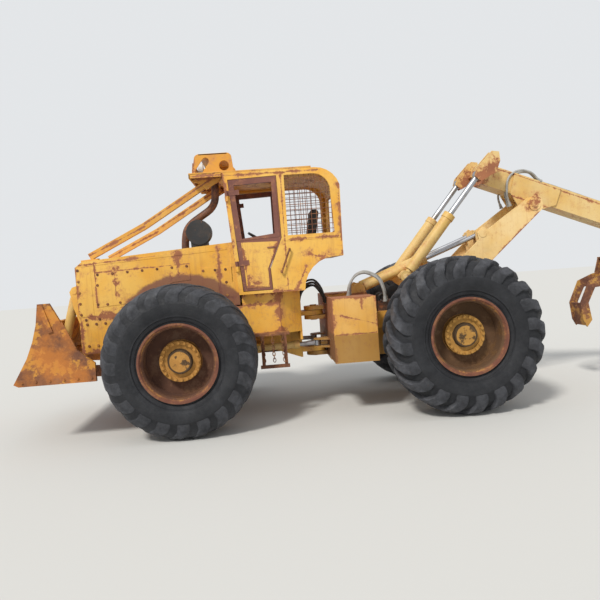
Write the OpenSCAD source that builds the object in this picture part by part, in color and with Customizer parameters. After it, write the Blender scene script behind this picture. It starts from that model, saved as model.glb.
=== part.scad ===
// Articulated grapple skidder, front towards -X, its left side towards -Y.
// Millimetres. The origin is on the floor, at the middle of the whole machine.
// Side outlines are given in X and Z from the rear axle line and from the floor.

/* [Wheels] */
// Distance between the front and the rear axle
wheelbase = 3200; // [3000:10:3600]
// Outer diameter of a rear tyre over its lugs
rear_tyre_d = 1800; // [1700:10:1900]
// Outer diameter of a worn front tyre
front_tyre_d = 1720; // [1650:10:1800]
// Width of a tyre
tyre_w = 620; // [540:10:660]
// Distance between the middles of the left and the right tyre
track = 2280; // [2260:10:2400]
// Diameter of the rim at the tyre's bead
rim_d = 830; // [780:5:860]
// Height of a rear tyre's lug
lug_h = 46; // [30:1:60]
// Height that is left of a front tyre's lug
worn_lug_h = 12; // [6:1:30]
// Number of lugs on each side of a tyre
lug_count = 20; // [16:1:24]
// Diameter of the planetary hub's cover ring
hub_ring_d = 455; // [420:5:500]
// Number of bolts in the hub's ring
hub_bolts = 20; // [12:1:24]

/* [Front body] */
// Half of the width of the hood and of the front frame
hood_hw = 600; // [560:5:640]
// Height of the seam between the frame's side plates and the hood
seam_z = 1385; // [1340:5:1420]
// Height of the hood at its nose
nose_z = 2045; // [1950:5:2100]
// Height of the hood at the cab
cowl_z = 2160; // [2120:5:2200]
// Thickness of the hood's sheet
hood_t = 12; // [6:1:20]
// Thickness of the frame's side plates
frame_t = 30; // [20:1:40]

/* [Cab] */
// Half of the width of the cab
cab_hw = 700; // [670:5:740]
// Thickness of the cab's walls and of its doors
wall_t = 50; // [40:1:60]
// Height of the cab's roof
roof_z = 2975; // [2900:5:3050]
// Gap round a door
door_gap = 6; // [4:1:10]
// Pitch of the window guard's mesh
mesh_pitch = 62; // [50:1:80]
// Width of one bar of the mesh
mesh_bar = 7; // [4:1:10]

/* [Rear body] */
// Half of the width of the rear frame over its side tanks
tank_hw = 950; // [900:5:980]
// Height of the side tanks
tank_z = 1405; // [1360:5:1440]
// Half of the distance between the rear frame's main plates
rear_plate_y = 450; // [430:5:480]

/* [Arch and boom] */
// Half of the distance between the arch's side plates
arch_y = 275; // [265:1:290]
// Half of the distance between the boom cylinders
boom_cyl_y = 380; // [370:1:400]
// Half of the distance between the arch cylinders
arch_cyl_y = 170; // [160:1:180]
// Slope of the boom, down to the rear
boom_slope = 21.5; // [15:0.5:28]
// Width of the boom's box
boom_w = 300; // [260:5:320]
// Depth of the boom's box
boom_h = 270; // [240:5:300]
// Distance from the boom's pivot to its tip pin
boom_reach = 1450; // [1300:10:1600]

/* [Grapple] */
// Half of the distance between the two tongs' pins
tong_pin_x = 300; // [280:5:320]
// Drop from a tong's pin to its tip
tong_drop = 650; // [600:10:660]
// Width of a tong over its side plates
tong_w = 300; // [240:10:320]

/* [Blade] */
// Width of the blade
blade_w = 2300; // [2100:10:2400]

/* [Fits] */
// Running gap between a pin or rod and its bore, at the radius
run_gap = 0.3; // [0.2:0.05:0.5]
// Side gap between a lug and what turns beside it
side_gap = 6; // [5:0.5:10]

/* [Hidden] */
$fn = 48;

// Colours
paint = [0.87, 0.62, 0.12];
rust = [0.55, 0.27, 0.12];
primer = [0.35, 0.14, 0.10];
chrome = [0.80, 0.80, 0.82];
rubber = [0.13, 0.13, 0.13];
dark = [0.10, 0.10, 0.10];

// Places from the rear axle, in X and Z
pivot_x = -wheelbase / 2;
rear_axle_z = rear_tyre_d / 2;
front_axle_z = front_tyre_d / 2;
nose_x = -4450;
cab_front_x = -2570;
front_end_x = pivot_x - 185;
rear_nose_x = pivot_x + 150;
rim_r = rim_d / 2;

// Pins of the arch, the boom and their cylinders, as [x, z]
arch_pin = [50, 1250];
boom_pin = [1330, 2400];
arch_rod_pin = [630, 2065];
arch_base_pin = [-1010, 1465];
boom_base_pin = [-430, 1590];
boom_rod_pin = [580, 2800];
blade_pin = [-3720, 720];
blade_base_pin = [-4520, 1700];
blade_rod_pin = [-4760, 900];
pin_r = 45;
blade_cyl_y = 400;
blade_tip_x = -5060;
tong_bulge = 480;
tip_local = [boom_reach, 150];
tip_pin = [boom_pin[0] + tip_local[0] * cos(boom_slope) + tip_local[1] * sin(boom_slope),
  boom_pin[1] - tip_local[0] * sin(boom_slope) + tip_local[1] * cos(boom_slope)];
// The rear axle's place, with the whole machine centred on the origin
rear_axle_x = -(blade_tip_x + tip_pin[0] + tong_pin_x + tong_bulge) / 2;

// Moves a piece from the rear axle line to the machine's own frame
module place() { translate([rear_axle_x, 0, 0]) children(); }
// A piece and its mirror image on the other side
module both() { children(); mirror([0, 1, 0]) children(); }
// A plate with an outline in X and Z, its middle at y
module plate(points, y, t) {
  translate([0, y, 0]) rotate([90, 0, 0]) linear_extrude(t, center = true) polygon(points);
}
// A round bar along Y, from y0 to y1
module rod_y(p, r, y0, y1) {
  translate([p[0], y0, p[1]]) rotate([-90, 0, 0]) cylinder(r = r, h = y1 - y0);
}
// A straight flat bar between two points in X and Z
module bar(p, q, w, y, t) {
  length = norm(q - p);
  angle = atan2(q[1] - p[1], q[0] - p[0]);
  translate([p[0], y, p[1]]) rotate([0, -angle, 0])
    translate([0, -t / 2, -w / 2]) cube([length, t, w]);
}
// Lays a cylinder's own X axis from its base pin towards its rod pin, at y
module along(p, q, y) {
  angle = atan2(q[1] - p[1], q[0] - p[0]);
  translate([p[0], y, p[1]]) rotate([0, -angle, 0]) children();
}
// Barrel of a hydraulic cylinder: base eye, tube with a bore for the rod, gland
module barrel(length, r, eye_w, eye_r, bore_pin_r, rod_r) {
  difference() {
    union() {
      rotate([90, 0, 0]) cylinder(r = eye_r, h = eye_w, center = true);
      translate([eye_r - 10, 0, 0]) rotate([0, 90, 0]) cylinder(r = r * 0.6, h = 45);
      translate([eye_r + 25, 0, 0]) rotate([0, 90, 0]) cylinder(r = r, h = length - eye_r - 25);
      translate([length - 70, 0, 0]) rotate([0, 90, 0]) cylinder(r = r + 8, h = 70);
    }
    rotate([90, 0, 0]) cylinder(r = bore_pin_r + run_gap, h = eye_w + 4, center = true);
    translate([eye_r + 40, 0, 0]) rotate([0, 90, 0]) cylinder(r = rod_r + run_gap, h = length - eye_r);
  }
}
// Rod of a hydraulic cylinder with its eye at the far pin
module rod(reach, start, rod_r, eye_r, eye_w) {
  translate([start, 0, 0]) rotate([0, 90, 0]) cylinder(r = rod_r, h = reach - start - eye_r * 0.5);
  translate([reach, 0, 0]) rotate([90, 0, 0]) cylinder(r = eye_r, h = eye_w, center = true);
}

// Front frame: side plates, nose plate, belly plates, hinge lugs and the axle's cradle
lug_top_z = 1200;
lug_low_z = 730;
lug_t = 60;
lug_r = 125;
module front_side() {
  plate([[nose_x, 945], [-3570, 945], [-3450, 1120], [-2950, 1120], [-2830, 960], [-2050, 1010],
    [-2050, 1520], [-2500, 1520], [-2500, seam_z], [nose_x, seam_z]], -hood_hw + frame_t / 2, frame_t);
  translate([0, 0, 1010]) linear_extrude(510)
    polygon([[-2052, -hood_hw], [front_end_x, -425], [front_end_x, -425 + frame_t], [-2052, -hood_hw + frame_t]]);
}
module front_frame() {
  color(paint) place() difference() {
    union() {
      both() front_side();
      translate([nose_x, -hood_hw + 1, 945]) cube([40, 2 * hood_hw - 2, seam_z - 945]);
      translate([front_end_x - frame_t, -425, 900]) cube([frame_t, 850, 620]);
      translate([front_end_x - frame_t, -165, 640]) cube([frame_t, 330, 300]);
      both() plate([[front_end_x - 20, 640], [-2500, 900], [-2500, 1150], [front_end_x - 20, 1150]], -150, frame_t);
      both() for (z = [steer_z - 43, steer_z + 43]) translate([steer_base[0] - 60, -450, z - 10]) cube([110, 300, 20]);
      both() translate([steer_base[0], steer_base[1], steer_z - 60]) cylinder(r = 28, h = 120);
      both() translate([steer_base[0] - 80, -450, steer_z - 53]) cube([20, 300, 200]);
      for (z = [lug_low_z, lug_top_z]) translate([0, 0, z - lug_t / 2]) linear_extrude(lug_t)
        union() {
          translate([pivot_x, 0]) circle(r = lug_r);
          translate([front_end_x - 10, -lug_r]) square([pivot_x - front_end_x + 10, 2 * lug_r]);
        }
      translate([nose_x + 20, -hood_hw + 10, 945]) cube([860, 2 * hood_hw - 20, 20]);
      translate([-2830, -hood_hw + 10, 1000]) cube([780, 2 * hood_hw - 20, 20]);
      for (x = [-3560, -2860]) translate([x - 60, -130, front_axle_z - 140])
        cube([120, 260, 1160 - front_axle_z + 140]);
      for (x = [-3560, -2860]) translate([x - 30, -hood_hw + 10, 1060]) cube([60, 2 * hood_hw - 20, 100]);
      both() plate([[blade_pin[0] - 110, 950], [blade_pin[0] - 90, blade_pin[1] - 60],
        [blade_pin[0] + 90, blade_pin[1] - 60], [blade_pin[0] + 110, 950]], -hood_hw + 15, frame_t);
      both() rod_y(blade_pin, pin_r, -760, -hood_hw + 20);
      both() for (y = [-blade_cyl_y - 74, -blade_cyl_y + 74]) plate([[nose_x + 1, 1180], [blade_base_pin[0] - 20, 1500],
        [blade_base_pin[0] - 55, 1700], [blade_base_pin[0] - 20, 1755], [nose_x - 0.3, 1780], [nose_x - 0.3, seam_z], [nose_x + 1, seam_z]], y, 20);
      both() rod_y(blade_base_pin, 30, -blade_cyl_y - 90, -blade_cyl_y + 90);
    }
    for (z = [lug_low_z, lug_top_z]) translate([pivot_x, 0, z - 50]) cylinder(r = pin_r + run_gap, h = 100);
    translate([-3700, 0, front_axle_z]) rotate([0, 90, 0]) cylinder(r = 85 + run_gap, h = 1000);
  }
}

// Front axle: housing, differential and the trunnions that it rocks on
module axle_housing(z, tube_r, ball_r) {
  rotate([90, 0, 0]) translate([0, z, 0]) cylinder(r = tube_r, h = track - 2 * 260, center = true);
  translate([0, 0, z]) rotate([90, 0, 0]) cylinder(r = ball_r, h = 300, center = true);
  translate([0, 0, z]) both() translate([0, -150, 0]) rotate([90, 0, 0]) cylinder(r1 = ball_r, r2 = tube_r, h = 150);
  both() translate([0, -track / 2 + 261, z]) rotate([90, 0, 0]) cylinder(r = 60, h = 150);
}
module front_axle() {
  color(rust) place() translate([-wheelbase, 0, 0]) {
    axle_housing(front_axle_z, 130, 190);
    translate([-420, 0, front_axle_z]) rotate([0, 90, 0]) cylinder(r = 85, h = 840);
  }
}

// Hood: top and side sheet over the engine, open below
module hood() {
  outer = [[nose_x, seam_z], [cab_front_x - 1, seam_z], [cab_front_x - 1, cowl_z], [nose_x + 90, nose_z + 8], [nose_x, nose_z - 60]];
  color(paint) place() difference() {
    plate(outer, 0, 2 * hood_hw);
    plate([[nose_x + hood_t, seam_z - 10], [cab_front_x - 1 - hood_t, seam_z - 10], [cab_front_x - 1 - hood_t, cowl_z - hood_t],
      [nose_x + 90, nose_z + 8 - hood_t], [nose_x + hood_t, nose_z - 60 - hood_t]], 0, 2 * hood_hw - 2 * hood_t);
    translate([nose_x - 5, -265, seam_z + 60]) cube([60, 530, 480]);
    translate([-3165, -300, 2000]) cylinder(r = 52, h = 200);
  }
}

// Nose guard: bars in front of the radiator
module nose_guard() {
  color(paint) place() {
    difference() {
      translate([nose_x - 40.3, -305, seam_z + 20]) cube([40, 610, 560]);
      translate([nose_x - 41, -265, seam_z + 60]) cube([42, 530, 480]);
    }
    for (k = [0 : 8]) translate([nose_x - 35, -270, seam_z + 70 + k * 54]) cube([25, 540, 22]);
  }
}

// Engine: one block for the mass of the engine and its gearbox
module engine() {
  color(dark) place() translate([-4150, -330, 1160.3]) cube([1270, 660, 700]);
}

// Cab outline in X and Z, the door's outline and the rear side window's outline
cab_floor_z = 1520.3;
curve_r = 390;
curve_mid = [-1340, 1515];
cab_rear_x = -1240;
function arc(c, r, a0, a1, n) = [for (k = [0 : n]) c + r * [cos(a0 + (a1 - a0) * k / n), sin(a0 + (a1 - a0) * k / n)]];
// The cab's outline, drawn in by t from its outside
function cab_ring(t) = concat(
  [[cab_front_x + 50 + t, cab_floor_z + t], [cab_front_x - 50 + t, roof_z - t]],
  arc([cab_rear_x - 280, roof_z - 300], 300 - t, 90, 15, 5),
  [[cab_rear_x - t, 2180], [cab_rear_x - t, curve_mid[1] + curve_r + t]],
  arc(curve_mid, curve_r + t, 90, 180 - asin((cab_floor_z + t - curve_mid[1]) / (curve_r + t)), 6));
door_outline = [[-2465, 1560], [-2555, 2885], [-1985, 2902], [-1973, 2160], [-2129, 1820], [-2117, 1560]];
window_outline = concat([[-1890, 2190], [-1890, 2905]],
  arc([-1560, 2690], 215, 90, 15, 5), [[-1325, 2190]]);
module cab() {
  color(paint) place() difference() {
    plate(cab_ring(0), 0, 2 * cab_hw);
    plate(cab_ring(wall_t), 0, 2 * cab_hw - 2 * wall_t);
    both() plate([for (p = door_outline) p + [p[0] < -2300 ? -door_gap : door_gap, p[1] < 2000 ? -door_gap : door_gap]],
      -cab_hw + wall_t / 2, wall_t + 10);
    both() plate(window_outline, -cab_hw + wall_t / 2, wall_t + 10);
    translate([cab_front_x - 300, -560, 2230]) cube([500, 1120, 600]);
    translate([cab_rear_x - 300, -560, 2230]) cube([500, 1120, 480]);
  }
  color(paint) place() both() for (z = hinge_z) hinge_line(z) {
    cylinder(r = 17, h = 60);
    translate([-26, 10, 0]) cube([42, 9, 60]);
  }
}
// A hinge's place on the slanted post, its own Z along the post
hinge_z = [1800, 2640];
post_slope = atan2(100, roof_z - cab_floor_z);
module hinge_line(z) {
  translate([cab_front_x + 72, -cab_hw - 18, cab_floor_z]) rotate([0, -post_slope, 0]) translate([0, 0, z - cab_floor_z]) children();
}

// Roof guard: roof plate with its brow, the lamp guard's plates and the two struts to the nose
module roof_guard() {
  color(paint) place() {
    translate([-3010, -cab_hw, roof_z + 0.3]) cube([1450, 2 * cab_hw, 20]);
    both() difference() {
      plate([[-3010, roof_z + 20], [-2990, roof_z + 120], [-2880, 3255], [-2520, 3255], [-2460, roof_z + 20]], -480, 20);
      plate([[-2960, roof_z + 80], [-2850, 3210], [-2780, 3210], [-2850, roof_z + 70]], -480, 30);
      plate([[-2660, roof_z + 60], [-2660, 3190], [-2550, 3190], [-2530, roof_z + 60]], -480, 30);
    }
    translate([-2880, -490, 3236]) cube([360, 980, 19]);
    both() bar([-4290, 2112], [-2740, roof_z - 20], 85, -450, 60);
    both() translate([-4400, -500, 2052.3]) rotate([0, -3.42, 0]) cube([200, 100, 20]);
  }
}

// Window guards: square mesh in the side windows and the rear window
module mesh(x0, z0, nx, nz) {
  for (i = [0 : nx]) for (k = [0 : nz])
    translate([x0 + i * mesh_pitch + mesh_bar / 2, z0 + k * mesh_pitch + mesh_bar / 2])
      square(mesh_pitch - mesh_bar);
}
module window_guards() {
  color(rust) place() {
    both() translate([0, -cab_hw + 20, 0]) rotate([90, 0, 0]) linear_extrude(8, center = true)
      intersection() {
        polygon(window_outline);
        difference() {
          polygon(window_outline);
          mesh(-1900, 2180, 12, 14);
        }
      }
  }
}

// Exhaust pipe, its bends and its stub
module exhaust() {
  color(rust) place() translate([0, -300, 0]) {
    for (s = [[[-3165, 1860.6], [-3165, 2200]], [[-3165, 2200], [-3150, 2390]], [[-3150, 2390], [-2745, 2640]], [[-2745, 2640], [-2735, 2960]]])
      along(s[0], s[1], 0) rotate([0, 90, 0]) cylinder(r = 42, h = norm(s[1] - s[0]));
    for (p = [[-3165, 2200], [-3150, 2390], [-2745, 2640]]) translate([p[0], 0, p[1]]) sphere(r = 45);
  }
}

// Air cleaner drum on the hood
module air_cleaner() {
  color(dark) place() {
    rod_y([-2960, 2310], 150, -560, -360);
    translate([-3060, -540, 2131.4]) rotate([0, -3.42, 0]) cube([200, 160, 80]);
  }
}

// Steps that hang under the cab on both sides
module steps() {
  color(rust) place() both() {
    translate([-2380, -760, 1010]) cube([420, 159.7, 30]);
    for (x = [-2310, -2040]) translate([x, -755, 640]) cube([40, 10, 375]);
    translate([-2330, -765, 620]) cube([350, 60, 35]);
  }
}

// Seat and console inside the cab
module seat() {
  color(dark) place() {
    translate([-2060, -200, cab_floor_z + wall_t + 0.3]) cube([265, 400, 300]);
    translate([-2100, -240, 1870]) cube([460, 480, 140]);
    translate([-1660, -240, 1960]) rotate([0, 10, 0]) cube([110, 480, 620]);
  }
}
module console() {
  color(dark) place() {
    translate([-2440, -260, cab_floor_z + wall_t + 0.3]) cube([180, 520, 520]);
    translate([-2330, 0, 2040]) rotate([0, 35, 0]) cylinder(r = 30, h = 178);
    translate([-2232, 0, 2180]) rotate([0, 35, 0]) cylinder(r = 190, h = 25);
  }
}
module lamps() {
  color(chrome) place() both() translate([-2900, -250, 0]) {
    translate([0, 0, 3110]) rotate([0, -90, 0]) cylinder(r = 70, h = 60, center = true);
    translate([0, 0, roof_z + 20.6]) cylinder(r = 15, h = 80);
  }
}

// Doors: frame with an open window and a solid lower panel
module door(side) {
  color(primer) place() mirror([0, side, 0]) difference() {
    plate(door_outline, -cab_hw + wall_t / 2, wall_t);
    plate([[-2440, 2185], [-2490, 2820], [-2045, 2835], [-2045, 2225]], -cab_hw + wall_t / 2, wall_t + 10);
  }
  color(primer) place() mirror([0, side, 0]) for (z = hinge_z) hinge_line(z) {
    translate([0, 0, 60.3]) cylinder(r = 17, h = 60);
    translate([0, 9, 60.3]) cube([150, 8.5, 60]);
    translate([90, 9, 60.3]) cube([60, 9.5, 60]);
  }
}
module door_left() { door(0); }
module door_right() { door(1); }

// Blade: curved moldboard, end wings, gussets and the arms back to their pins
blade_face = [[-4745, 1370], [-4800, 1190], [-4878, 1010], [-4975, 850], [blade_tip_x, 735]];
blade_back = [[-5035, 712], [-4948, 832], [-4852, 992], [-4773, 1176], [-4718, 1360]];
blade_end = [[-4718, 1600], [-4590, 1600], [-4490, 1400], [-4330, 1060], [-4150, 905], [-4150, 700], [-5000, 700],
  [-5052, 728], [-4980, 846], [-4883, 1007], [-4806, 1188], [-4752, 1372]];
module blade() {
  color(rust) place() {
    plate(concat(blade_face, blade_back), 0, blade_w - 60);
    both() plate(blade_end, -blade_w / 2 + 20, 40);
    translate([-4978, -blade_w / 2 + 30, 770]) cube([130, blade_w - 60, 40]);
    both() for (y = [-blade_cyl_y - 52, -blade_cyl_y + 52])
      plate([[-4882, 970], [-4720, 950], [-4690, 900], [-4720, 850], [-4955, 850]], y, 20);
    both() for (s = [-1, 1]) rod_y(blade_rod_pin, 45, -blade_cyl_y + s * 67 - 8, -blade_cyl_y + s * 67 + 8);
    both() difference() {
      union() {
        bar(blade_pin, [-4965, 790], 130, -680, 50);
        rod_y(blade_pin, 85, -705, -655);
      }
      rod_y(blade_pin, pin_r + run_gap, -800, -600);
    }
  }
}
module blade_barrels() {
  color(paint) place() both() along(blade_base_pin, blade_rod_pin, -blade_cyl_y) barrel(700, 55, 68, 60, 30, 32);
}
module blade_rods() {
  color(chrome) place() both() along(blade_base_pin, blade_rod_pin, -blade_cyl_y)
    rod(norm(blade_rod_pin - blade_base_pin), 160, 32, 50, 68);
}

// Tyre profile as radius and width, then the lugs on both shoulders
module tyre_body(tyre_d, lug) {
  r = tyre_d / 2 - lug;
  w = tyre_w / 2;
  rotate([90, 0, 0]) rotate_extrude($fn = 36)
    polygon([[rim_r, -w + 60], [rim_r + 90, -w + 10], [rim_r + 180, -w], [r - 90, -w + 18], [r - 25, -w + 55], [r, -w + 130],
      [r, w - 130], [r - 25, w - 55], [r - 90, w - 18], [rim_r + 180, w], [rim_r + 90, w - 10], [rim_r, w - 60]]);
}
module lugs(tyre_d, lug) {
  r = tyre_d / 2 - lug;
  w = tyre_w / 2;
  for (side = [0, 1], k = [0 : lug_count - 1]) mirror([0, side, 0])
    rotate([0, (k + side / 2) * 360 / lug_count, 0]) {
      translate([0, 15, r - 30]) rotate([0, 0, 32]) translate([-32, -w - 20, 0]) cube([64, w + 30, lug + 28]);
    }
}
module tyre(x, side, tyre_d, lug) {
  color(rubber) place() mirror([0, side, 0]) translate([x, -track / 2, tyre_d / 2]) {
    tyre_body(tyre_d, lug);
    intersection() {
      lugs(tyre_d, lug);
      rotate([90, 0, 0]) cylinder(r = tyre_d / 2, h = tyre_w, center = true, $fn = 36);
    }
  }
}
module tyre_front_left() { tyre(-wheelbase, 0, front_tyre_d, worn_lug_h); }
module tyre_front_right() { tyre(-wheelbase, 1, front_tyre_d, worn_lug_h); }
module tyre_rear_left() { tyre(0, 0, rear_tyre_d, lug_h); }
module tyre_rear_right() { tyre(0, 1, rear_tyre_d, lug_h); }

// Wheel: rim, disc and planetary hub with its ring of bolts; the open side is at -Y
module wheel(x, side, z) {
  w = tyre_w / 2;
  color(rust) place() mirror([0, side, 0]) translate([x, -track / 2, z]) rotate([90, 0, 0]) {
    difference() {
      union() {
        rotate_extrude() polygon([[rim_r - 0.3, -w + 59.7], [rim_r + 22, -w + 30], [rim_r + 22, -w + 15], [rim_r, -w + 15],
          [rim_r - 35, -w + 75], [rim_r - 35, w - 75], [rim_r, w - 15], [rim_r + 22, w - 15], [rim_r + 22, w - 30],
          [rim_r - 0.3, w - 59.7], [rim_r - 0.3, 0]]);
        translate([0, 0, -10]) cylinder(r = rim_r - 30, h = 30);
        translate([0, 0, -260 + 0.3]) cylinder(r = 200, h = 300);
        cylinder(r = hub_ring_d / 2, h = 110);
        for (k = [0 : hub_bolts - 1]) rotate([0, 0, k * 360 / hub_bolts])
          translate([hub_ring_d / 2 - 22, 0, 100]) cylinder(r = 16, h = 34);
        cylinder(r = 130, h = 150);
      }
      translate([0, 0, -260 - 1]) cylinder(r = 60 + run_gap, h = 152);
      translate([0, 0, 95]) difference() {
        cylinder(r = hub_ring_d / 2 - 45, h = 30);
        translate([0, 0, -1]) cylinder(r = 130, h = 40);
      }
    }
  }
}
module wheel_front_left() { wheel(-wheelbase, 0, front_axle_z); }
module wheel_front_right() { wheel(-wheelbase, 1, front_axle_z); }
module wheel_rear_left() { wheel(0, 0, rear_axle_z); }
module wheel_rear_right() { wheel(0, 1, rear_axle_z); }

// Rear frame: nose plate, hinge lugs, main plates, deck, arch and cylinder brackets
deck_z = 1110;
drawbar_pin = [990, 700];
drawbar_t = 30;
hitch_r = 30;
module rear_frame() {
  color(paint) place() difference() {
    union() {
      translate([rear_nose_x, -rear_plate_y - 15, 620]) cube([30, 2 * rear_plate_y + 30, tank_z - 620]);
      both() plate([[rear_nose_x, 640], [-260, 640], [-260, 1062], [260, 1062], [260, 640], [900, 700], [900, 1150],
        [300, 1180], [-900, 1180], [-1100, tank_z], [rear_nose_x, tank_z]], -rear_plate_y, 30);
      translate([-1000, -rear_plate_y, deck_z - 20]) cube([1900, 2 * rear_plate_y, 20]);
      translate([rear_nose_x, -rear_plate_y, 640]) cube([1150, 2 * rear_plate_y, 20]);
      translate([880, -rear_plate_y - 15, 640]) cube([30, 2 * rear_plate_y + 30, 520]);
      translate([900, -110, drawbar_pin[1]]) cube([drawbar_pin[0] - 820, 220, drawbar_t]);
      for (z = [lug_low_z, lug_top_z]) for (s = [-1, 1])
        translate([0, 0, z + s * (lug_t / 2 + side_gap + 25) - 25]) linear_extrude(50) union() {
          translate([pivot_x, 0]) circle(r = lug_r);
          translate([pivot_x, -lug_r]) square([rear_nose_x - pivot_x + 5, 2 * lug_r]);
        }
      for (z = [lug_low_z, lug_top_z]) translate([pivot_x, 0, z - 100]) cylinder(r = pin_r, h = 200);
      both() for (z = [steer_z - 48, steer_z + 48]) translate([0, 0, z - 10]) linear_extrude(20)
        polygon([[rear_nose_x + 1, -430], [steer_end[0] - 20, -350], [steer_end[0] - 45, -300], [steer_end[0] - 20, -250], [rear_nose_x + 1, -200]]);
      both() for (y = [-arch_y + 42, -arch_y - 42])
        plate([[-130, deck_z - 10], [-60, arch_pin[1] + 60], [50, arch_pin[1] + 110], [160, arch_pin[1] + 60], [230, deck_z - 10]], y, 24);
      both() rod_y(arch_pin, pin_r, -arch_y - 70, -arch_y + 70);
      both() for (y = [-arch_cyl_y - 52, -arch_cyl_y + 52])
        plate([[-1180, 1100], [-1090, 1500], [-1010, 1550], [-940, 1500], [-820, 1100]], y, 24);
      both() rod_y(arch_base_pin, 36, -arch_cyl_y - 75, -arch_cyl_y + 75);
    }
    translate([drawbar_pin[0], 0, drawbar_pin[1] - 10]) cylinder(r = hitch_r, h = drawbar_t + 20);
    translate([-1050, -130, 630]) cube([300, 260, 40]);
  }
}
module rear_axle() {
  color(rust) place() {
    axle_housing(rear_axle_z, 140, 185);
    both() translate([-240, -rear_plate_y - 60, rear_axle_z + 60]) cube([480, 120, 1061.7 - rear_axle_z - 60]);
  }
}
module side_tanks() {
  color(paint) place() both() {
    translate([rear_nose_x, -tank_hw, 640]) cube([520, tank_hw - rear_plate_y - 15.3, tank_z - 640]);
  }
}
module valve_bank() {
  color(dark) place() translate([-760, -160, deck_z + 0.3]) cube([260, 320, 180]);
}

// Steering cylinders, from the front frame to the rear frame, low beside the hinge
steer_z = 830;
steer_base = [pivot_x - 750, -400];
steer_end = [pivot_x, -300];
module steer_place(side) {
  v = steer_end - steer_base;
  mirror([0, side, 0]) translate([steer_base[0], steer_base[1], steer_z])
    rotate([0, 0, atan2(v[1], v[0])]) rotate([90, 0, 0]) children();
}
module steer_barrel(side) {
  color(paint) place() steer_place(side) barrel(520, 45, 60, 50, 28, 28);
}
module steer_rod(side) {
  color(chrome) place() steer_place(side) rod(norm(steer_end - steer_base), 268, 28, 45, 60);
}
module steer_barrel_left() { steer_barrel(0); }
module steer_barrel_right() { steer_barrel(1); }
module steer_rod_left() { steer_rod(0); }
module steer_rod_right() { steer_rod(1); }

// Arch: two side plates with their ears, a web between them and the boom's pin
arch_leg = [[-60, 1230], [-20, 1140], [120, 1140], [190, 1230], [1440, 2330], [1440, 2450], [1350, 2505], [1250, 2480],
  [700, 2110], [640, 2150], [560, 2080], [580, 1990], [200, 1640], [-380, 1660], [-440, 1665], [-510, 1600], [-450, 1510]];
module arch() {
  color(paint) place() difference() {
    union() {
      both() plate(arch_leg, -arch_y, 30);
      both() rod_y(arch_pin, 85, -arch_y - 24, -arch_y + 24);
      both() rod_y(boom_base_pin, 36, -boom_cyl_y - 45, -arch_y);
      rod_y(boom_pin, pin_r, -arch_y - 35, arch_y + 35);
      both() rod_y(boom_pin, 85, -arch_y - 25, -arch_y);
      both() rod_y(arch_rod_pin, 50, -arch_y - 22, -arch_y);
      both() for (y = [-arch_cyl_y - 52, -arch_cyl_y + 52]) plate([[560, 2110], [560, 2010], [600, 1735], [800, 1915], [720, 2110], [640, 2135]], y, 20);
      bar([420, 1560], [900, 1990], 30, 0, 2 * arch_y - 20);
    }
    both() rod_y(arch_pin, pin_r + run_gap, -arch_y - 60, -arch_y + 60);
  }
}
module arch_barrels() {
  color(paint) place() both() along(arch_base_pin, arch_rod_pin, -arch_cyl_y) barrel(960, 60, 68, 65, 36, 30);
}
module arch_rods() {
  color(chrome) place() both() along(arch_base_pin, arch_rod_pin, -arch_cyl_y)
    rod(norm(arch_rod_pin - arch_base_pin), 350, 30, 55, 68);
}

// Boom in its own frame: the origin at its pivot, X along the boom to its tip
module boom_frame() { translate([boom_pin[0], 0, boom_pin[1]]) rotate([0, boom_slope, 0]) children(); }
boom_low = 65;
module boom() {
  color(paint) place() boom_frame() difference() {
    union() {
      translate([-700, -boom_w / 2, boom_low]) cube([boom_reach + 440, boom_w, boom_h]);
      both() plate([[-330, 330], [-300, 60], [-120, -90], [60, -90], [330, 100], [330, 330]], -boom_w / 2 - 12, 24);
      rod_y([0, 0], 85, -arch_y + 21, arch_y - 21);
      translate([-760, -440, 190]) cube([110, 880, 140]);
      both() for (y = [-boom_cyl_y - 57, -boom_cyl_y + 57])
        plate([[-900, 60], [-800, 20], [-650, 190], [-650, 340], [-700, 440], [-790, 420], [-905, 150]], y, 20);
      both() plate([[boom_reach - 340, 66], [boom_reach - 60, 80], [boom_reach + 40, 90], [boom_reach + 70, 150],
        [boom_reach + 40, 215], [boom_reach - 120, 300], [boom_reach - 340, 334]], -100, 30);
      rod_y(tip_local, 36, -125, 125);
    }
    rod_y([0, 0], pin_r + run_gap, -arch_y, arch_y);
  }
}
module boom_barrels() {
  color(paint) place() both() along(boom_base_pin, boom_rod_pin, -boom_cyl_y) barrel(960, 70, 76, 70, 36, 36);
}
module boom_rods() {
  color(chrome) place() both() along(boom_base_pin, boom_rod_pin, -boom_cyl_y)
    rod(norm(boom_rod_pin - boom_base_pin), 400, 36, 60, 80);
}

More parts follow.
